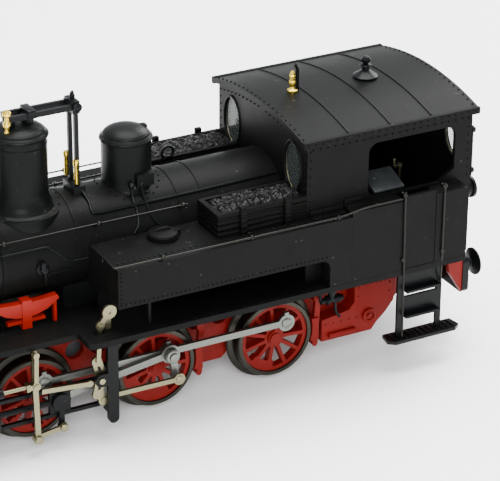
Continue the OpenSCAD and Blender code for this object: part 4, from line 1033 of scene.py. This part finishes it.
for k in range(12):
    x = -52.2 + k * 1.05
    ribs.append(bar("rib", at(x, 15.4, 5.55), at(x + 0.35, 18.0, 5.72), 0.04))
dress(both_sides(join("step_ribs", ribs)), "trim_black")
board_heads = row(at(-52.5, 17.9, 18.9), at(14.5, 17.9, 18.9), 2.9, Z_UP)
dress(both_sides(copies("running_board_rivets", rivet(0.14), board_heads)), "body_black")

# %% [markdown]
# Through the side opening a locker with a sloping grey lid shows, and the hand brake's column with
# its bright handle. Below the running board hangs the injector, a cast body with flanged pipes.

# %% Cab locker, hand brake and injectors
CAB_FLOOR, LID_TILT = 19.8, math.radians(20)
BRAKE_COLUMN = [(0.9, 0), (0.9, 0.5), (0.35, 1.0), (0.3, 12.5), (0.5, 12.7), (0.5, 13.3)]
box = bar("locker", at(-43.4, 9.2, CAB_FLOOR), at(-38.1, 13.8, 31.6), 0.15)
dress(box, "trim_black")
lid_plate = bar("locker_lid", at(-43.6, 9.0, 31.55), at(-37.9, 14.0, 32.0), 0.12)
only(lid_plate)
bpy.ops.object.mode_set(mode="EDIT")
bpy.ops.mesh.select_all(action="SELECT")
lid_hinge = at(-40.7, 14.0, 31.6)
bpy.ops.transform.rotate(value=LID_TILT, orient_axis="X", center_override=lid_hinge)
bpy.ops.object.mode_set(mode="OBJECT")
# hammered enamel: pale grey and speckled
LID_GREY = varnished(
    "grey hammered enamel", "#272a2b", 0.45, cloud=0.35, dust=0.5, grain=0.5, gloss=0.3
)
dress(lid_plate, "motor_grey", LID_GREY)
column = [
    turned("column", BRAKE_COLUMN, at(-46.2, 8.2, CAB_FLOOR), UP, 14),
    wire("handle", [at(-46.2, 8.2, 33.0), at(-44.6, 9.0, 33.0), at(-44.6, 9.0, 34.6)], 0.4, 0.3),
]
dress(join("hand_brake_column", column), "nickel")
INJECTOR = [(0.55, 0), (0.55, 0.5), (0.8, 0.6), (0.8, 1.0), (0.6, 1.2), (0.6, 2.6), (0.85, 2.7),
            (0.85, 3.1), (0.5, 3.3), (0.5, 4.2)]
CUP = [(0.6, 0), (0.6, 1.4), (0.75, 1.5), (0.75, 1.9)]
INJECTOR_Y = 10.4
steam = [at(-32.3, INJECTOR_Y, 13.3), at(-32.3, INJECTOR_Y, 15.2), at(-33.4, INJECTOR_Y, 18.1)]
feed = [at(-30.4, INJECTOR_Y, 11.9), at(-30.1, INJECTOR_Y, 12.6), at(-30.4, 10.2, 16.0),
        at(-30.4, 10.2, 18.1)]
overflow = [at(-33.0, INJECTOR_Y, 11.5), at(-33.1, 10.5, 9.4), at(-33.9, 10.6, 8.4)]
injector = [
    turned("body", INJECTOR, at(-34.4, INJECTOR_Y, 11.9), FORWARD, 16),
    turned("cup", CUP, at(-32.3, INJECTOR_Y, 11.7), UP, 12),
    wire("steam_pipe", steam, 0.7),
    wire("feed_pipe", feed, 0.6),
    wire("overflow", overflow, 0.5),
]
dress(both_sides(join("injectors", injector)), "trim_black")
print("cab and injector details made")

# %% [markdown]
# The whistle is turned from brass and stands before a thin steam pipe. Each lamp has a clear lens
# in its rim.

# %% Whistle, its pipe and the lamp lenses
whistle_low, whistle_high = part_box("whistle")
whistle_foot = Vector((at(-30.1, 0, 0).x, 0, whistle_low.z))
top = (whistle_high.z - whistle_low.z) / MM
WHISTLE = [
    (0.85, 0), (0.85, 0.35), (0.5, 0.5), (0.36, 0.7), (0.36, 1.0), (0.58, 1.15), (0.62, 1.5),
    (0.58, 1.9), (0.36, 2.05), (0.36, 2.3), (0.54, 2.4), (0.54, top - 0.75), (0.42, top - 0.65),
    (0.42, top - 0.3), (0.2, top),
]
whistle = turned("turned_whistle", WHISTLE, whistle_foot, UP, 24)
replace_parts(dress(whistle, "brass"), "whistle")
pipe = wire("whistle_pipe", [at(-31.0, 0, 45.8), at(-31.0, 0, 49.9), at(-30.6, 0, 50.7)], 0.6, 0.6)
dress(pipe, "trim_black")
LENS_RINGS = [(1.4, -0.1), (1.4, 0.1), (1.0, 0.3), (0.4, 0.38)]
lenses = [
    turned("lens", LENS_RINGS, at(42.9, 10.4, 21.0), FORWARD, 24),
    turned("lens", LENS_RINGS, at(-58.0, 12.2, 28.0), BACKWARD, 24),
]
dress(both_sides(join("lamp_lenses", lenses)), "window_clear", LENS)

# %% [markdown]
# The locomotive stands on a large sheet of white paper. The sheet belongs to the set and not to the
# model.

# %% Floor
SHEET_SIZE = 3
deselect()
bpy.ops.mesh.primitive_plane_add(size=SHEET_SIZE)
floor = bpy.context.object
floor.name = "paper_sheet"
paper, _ = start("white paper")
white = {"Base Color": linear("#fbfbfa"), "Roughness": 0.8}
sheet_shader = add(paper, "ShaderNodeBsdfPrincipled", white)
floor.data.materials.append(end(paper, sheet_shader))

# %% [markdown]
# The camera stands to the left and ahead, well above the model. Its long lens keeps upright lines
# nearly parallel. The three rows are the camera's right, up and back directions.

# %% Camera
FOCAL_LENGTH, SENSOR_WIDTH = 182.12, 36
CAMERA_AT = (158.26, 334.19, 205.75)
RIGHT_ROW = (-0.8811, 0.4729, 0.0062)
UP_ROW = (-0.2023, -0.3887, 0.8989)
BACK_ROW = (0.4275, 0.7907, 0.4382)
deselect()
bpy.ops.object.camera_add(location=at(*CAMERA_AT))
camera = bpy.context.object
camera.rotation_euler = Matrix((RIGHT_ROW, UP_ROW, BACK_ROW)).transposed().to_euler()
camera.data.lens = FOCAL_LENGTH
camera.data.sensor_width = SENSOR_WIDTH
camera.data.clip_start = 0.01
bpy.context.scene.camera = camera

# %% [markdown]
# The light is soft, as in a white room: a large softbox overhead, one on the left and one behind to
# the right, and a pale world that fills the shadows.

# %% Light
WORLD_COLOUR, WORLD_STRENGTH = (0.95, 0.97, 1.0, 1), 1.35


def softbox(name, place, aim, size, watts):
    """A square area light that looks at aim."""
    deselect()
    bpy.ops.object.light_add(type="AREA", location=place)
    lamp = bpy.context.object
    lamp.name = name
    lamp.data.size = size
    lamp.data.energy = watts
    lamp.rotation_euler = (Vector(place) - Vector(aim)).to_track_quat("Z", "Y").to_euler()
    return lamp


softbox("overhead_softbox", (-0.05, -0.05, 0.6), (0, 0, 0), size=0.5, watts=12.5)
softbox("left_softbox", (0.25, 0.55, 0.35), (0, 0, 0.02), size=0.35, watts=5)
softbox("rear_softbox", (-0.45, -0.25, 0.35), (0, 0, 0.03), size=0.3, watts=4)
world = bpy.data.worlds.new("white room")
world.use_nodes = True
background = world.node_tree.nodes["Background"]
background.inputs["Color"].default_value = WORLD_COLOUR
background.inputs["Strength"].default_value = WORLD_STRENGTH
bpy.context.scene.world = world
print("camera and lights set")
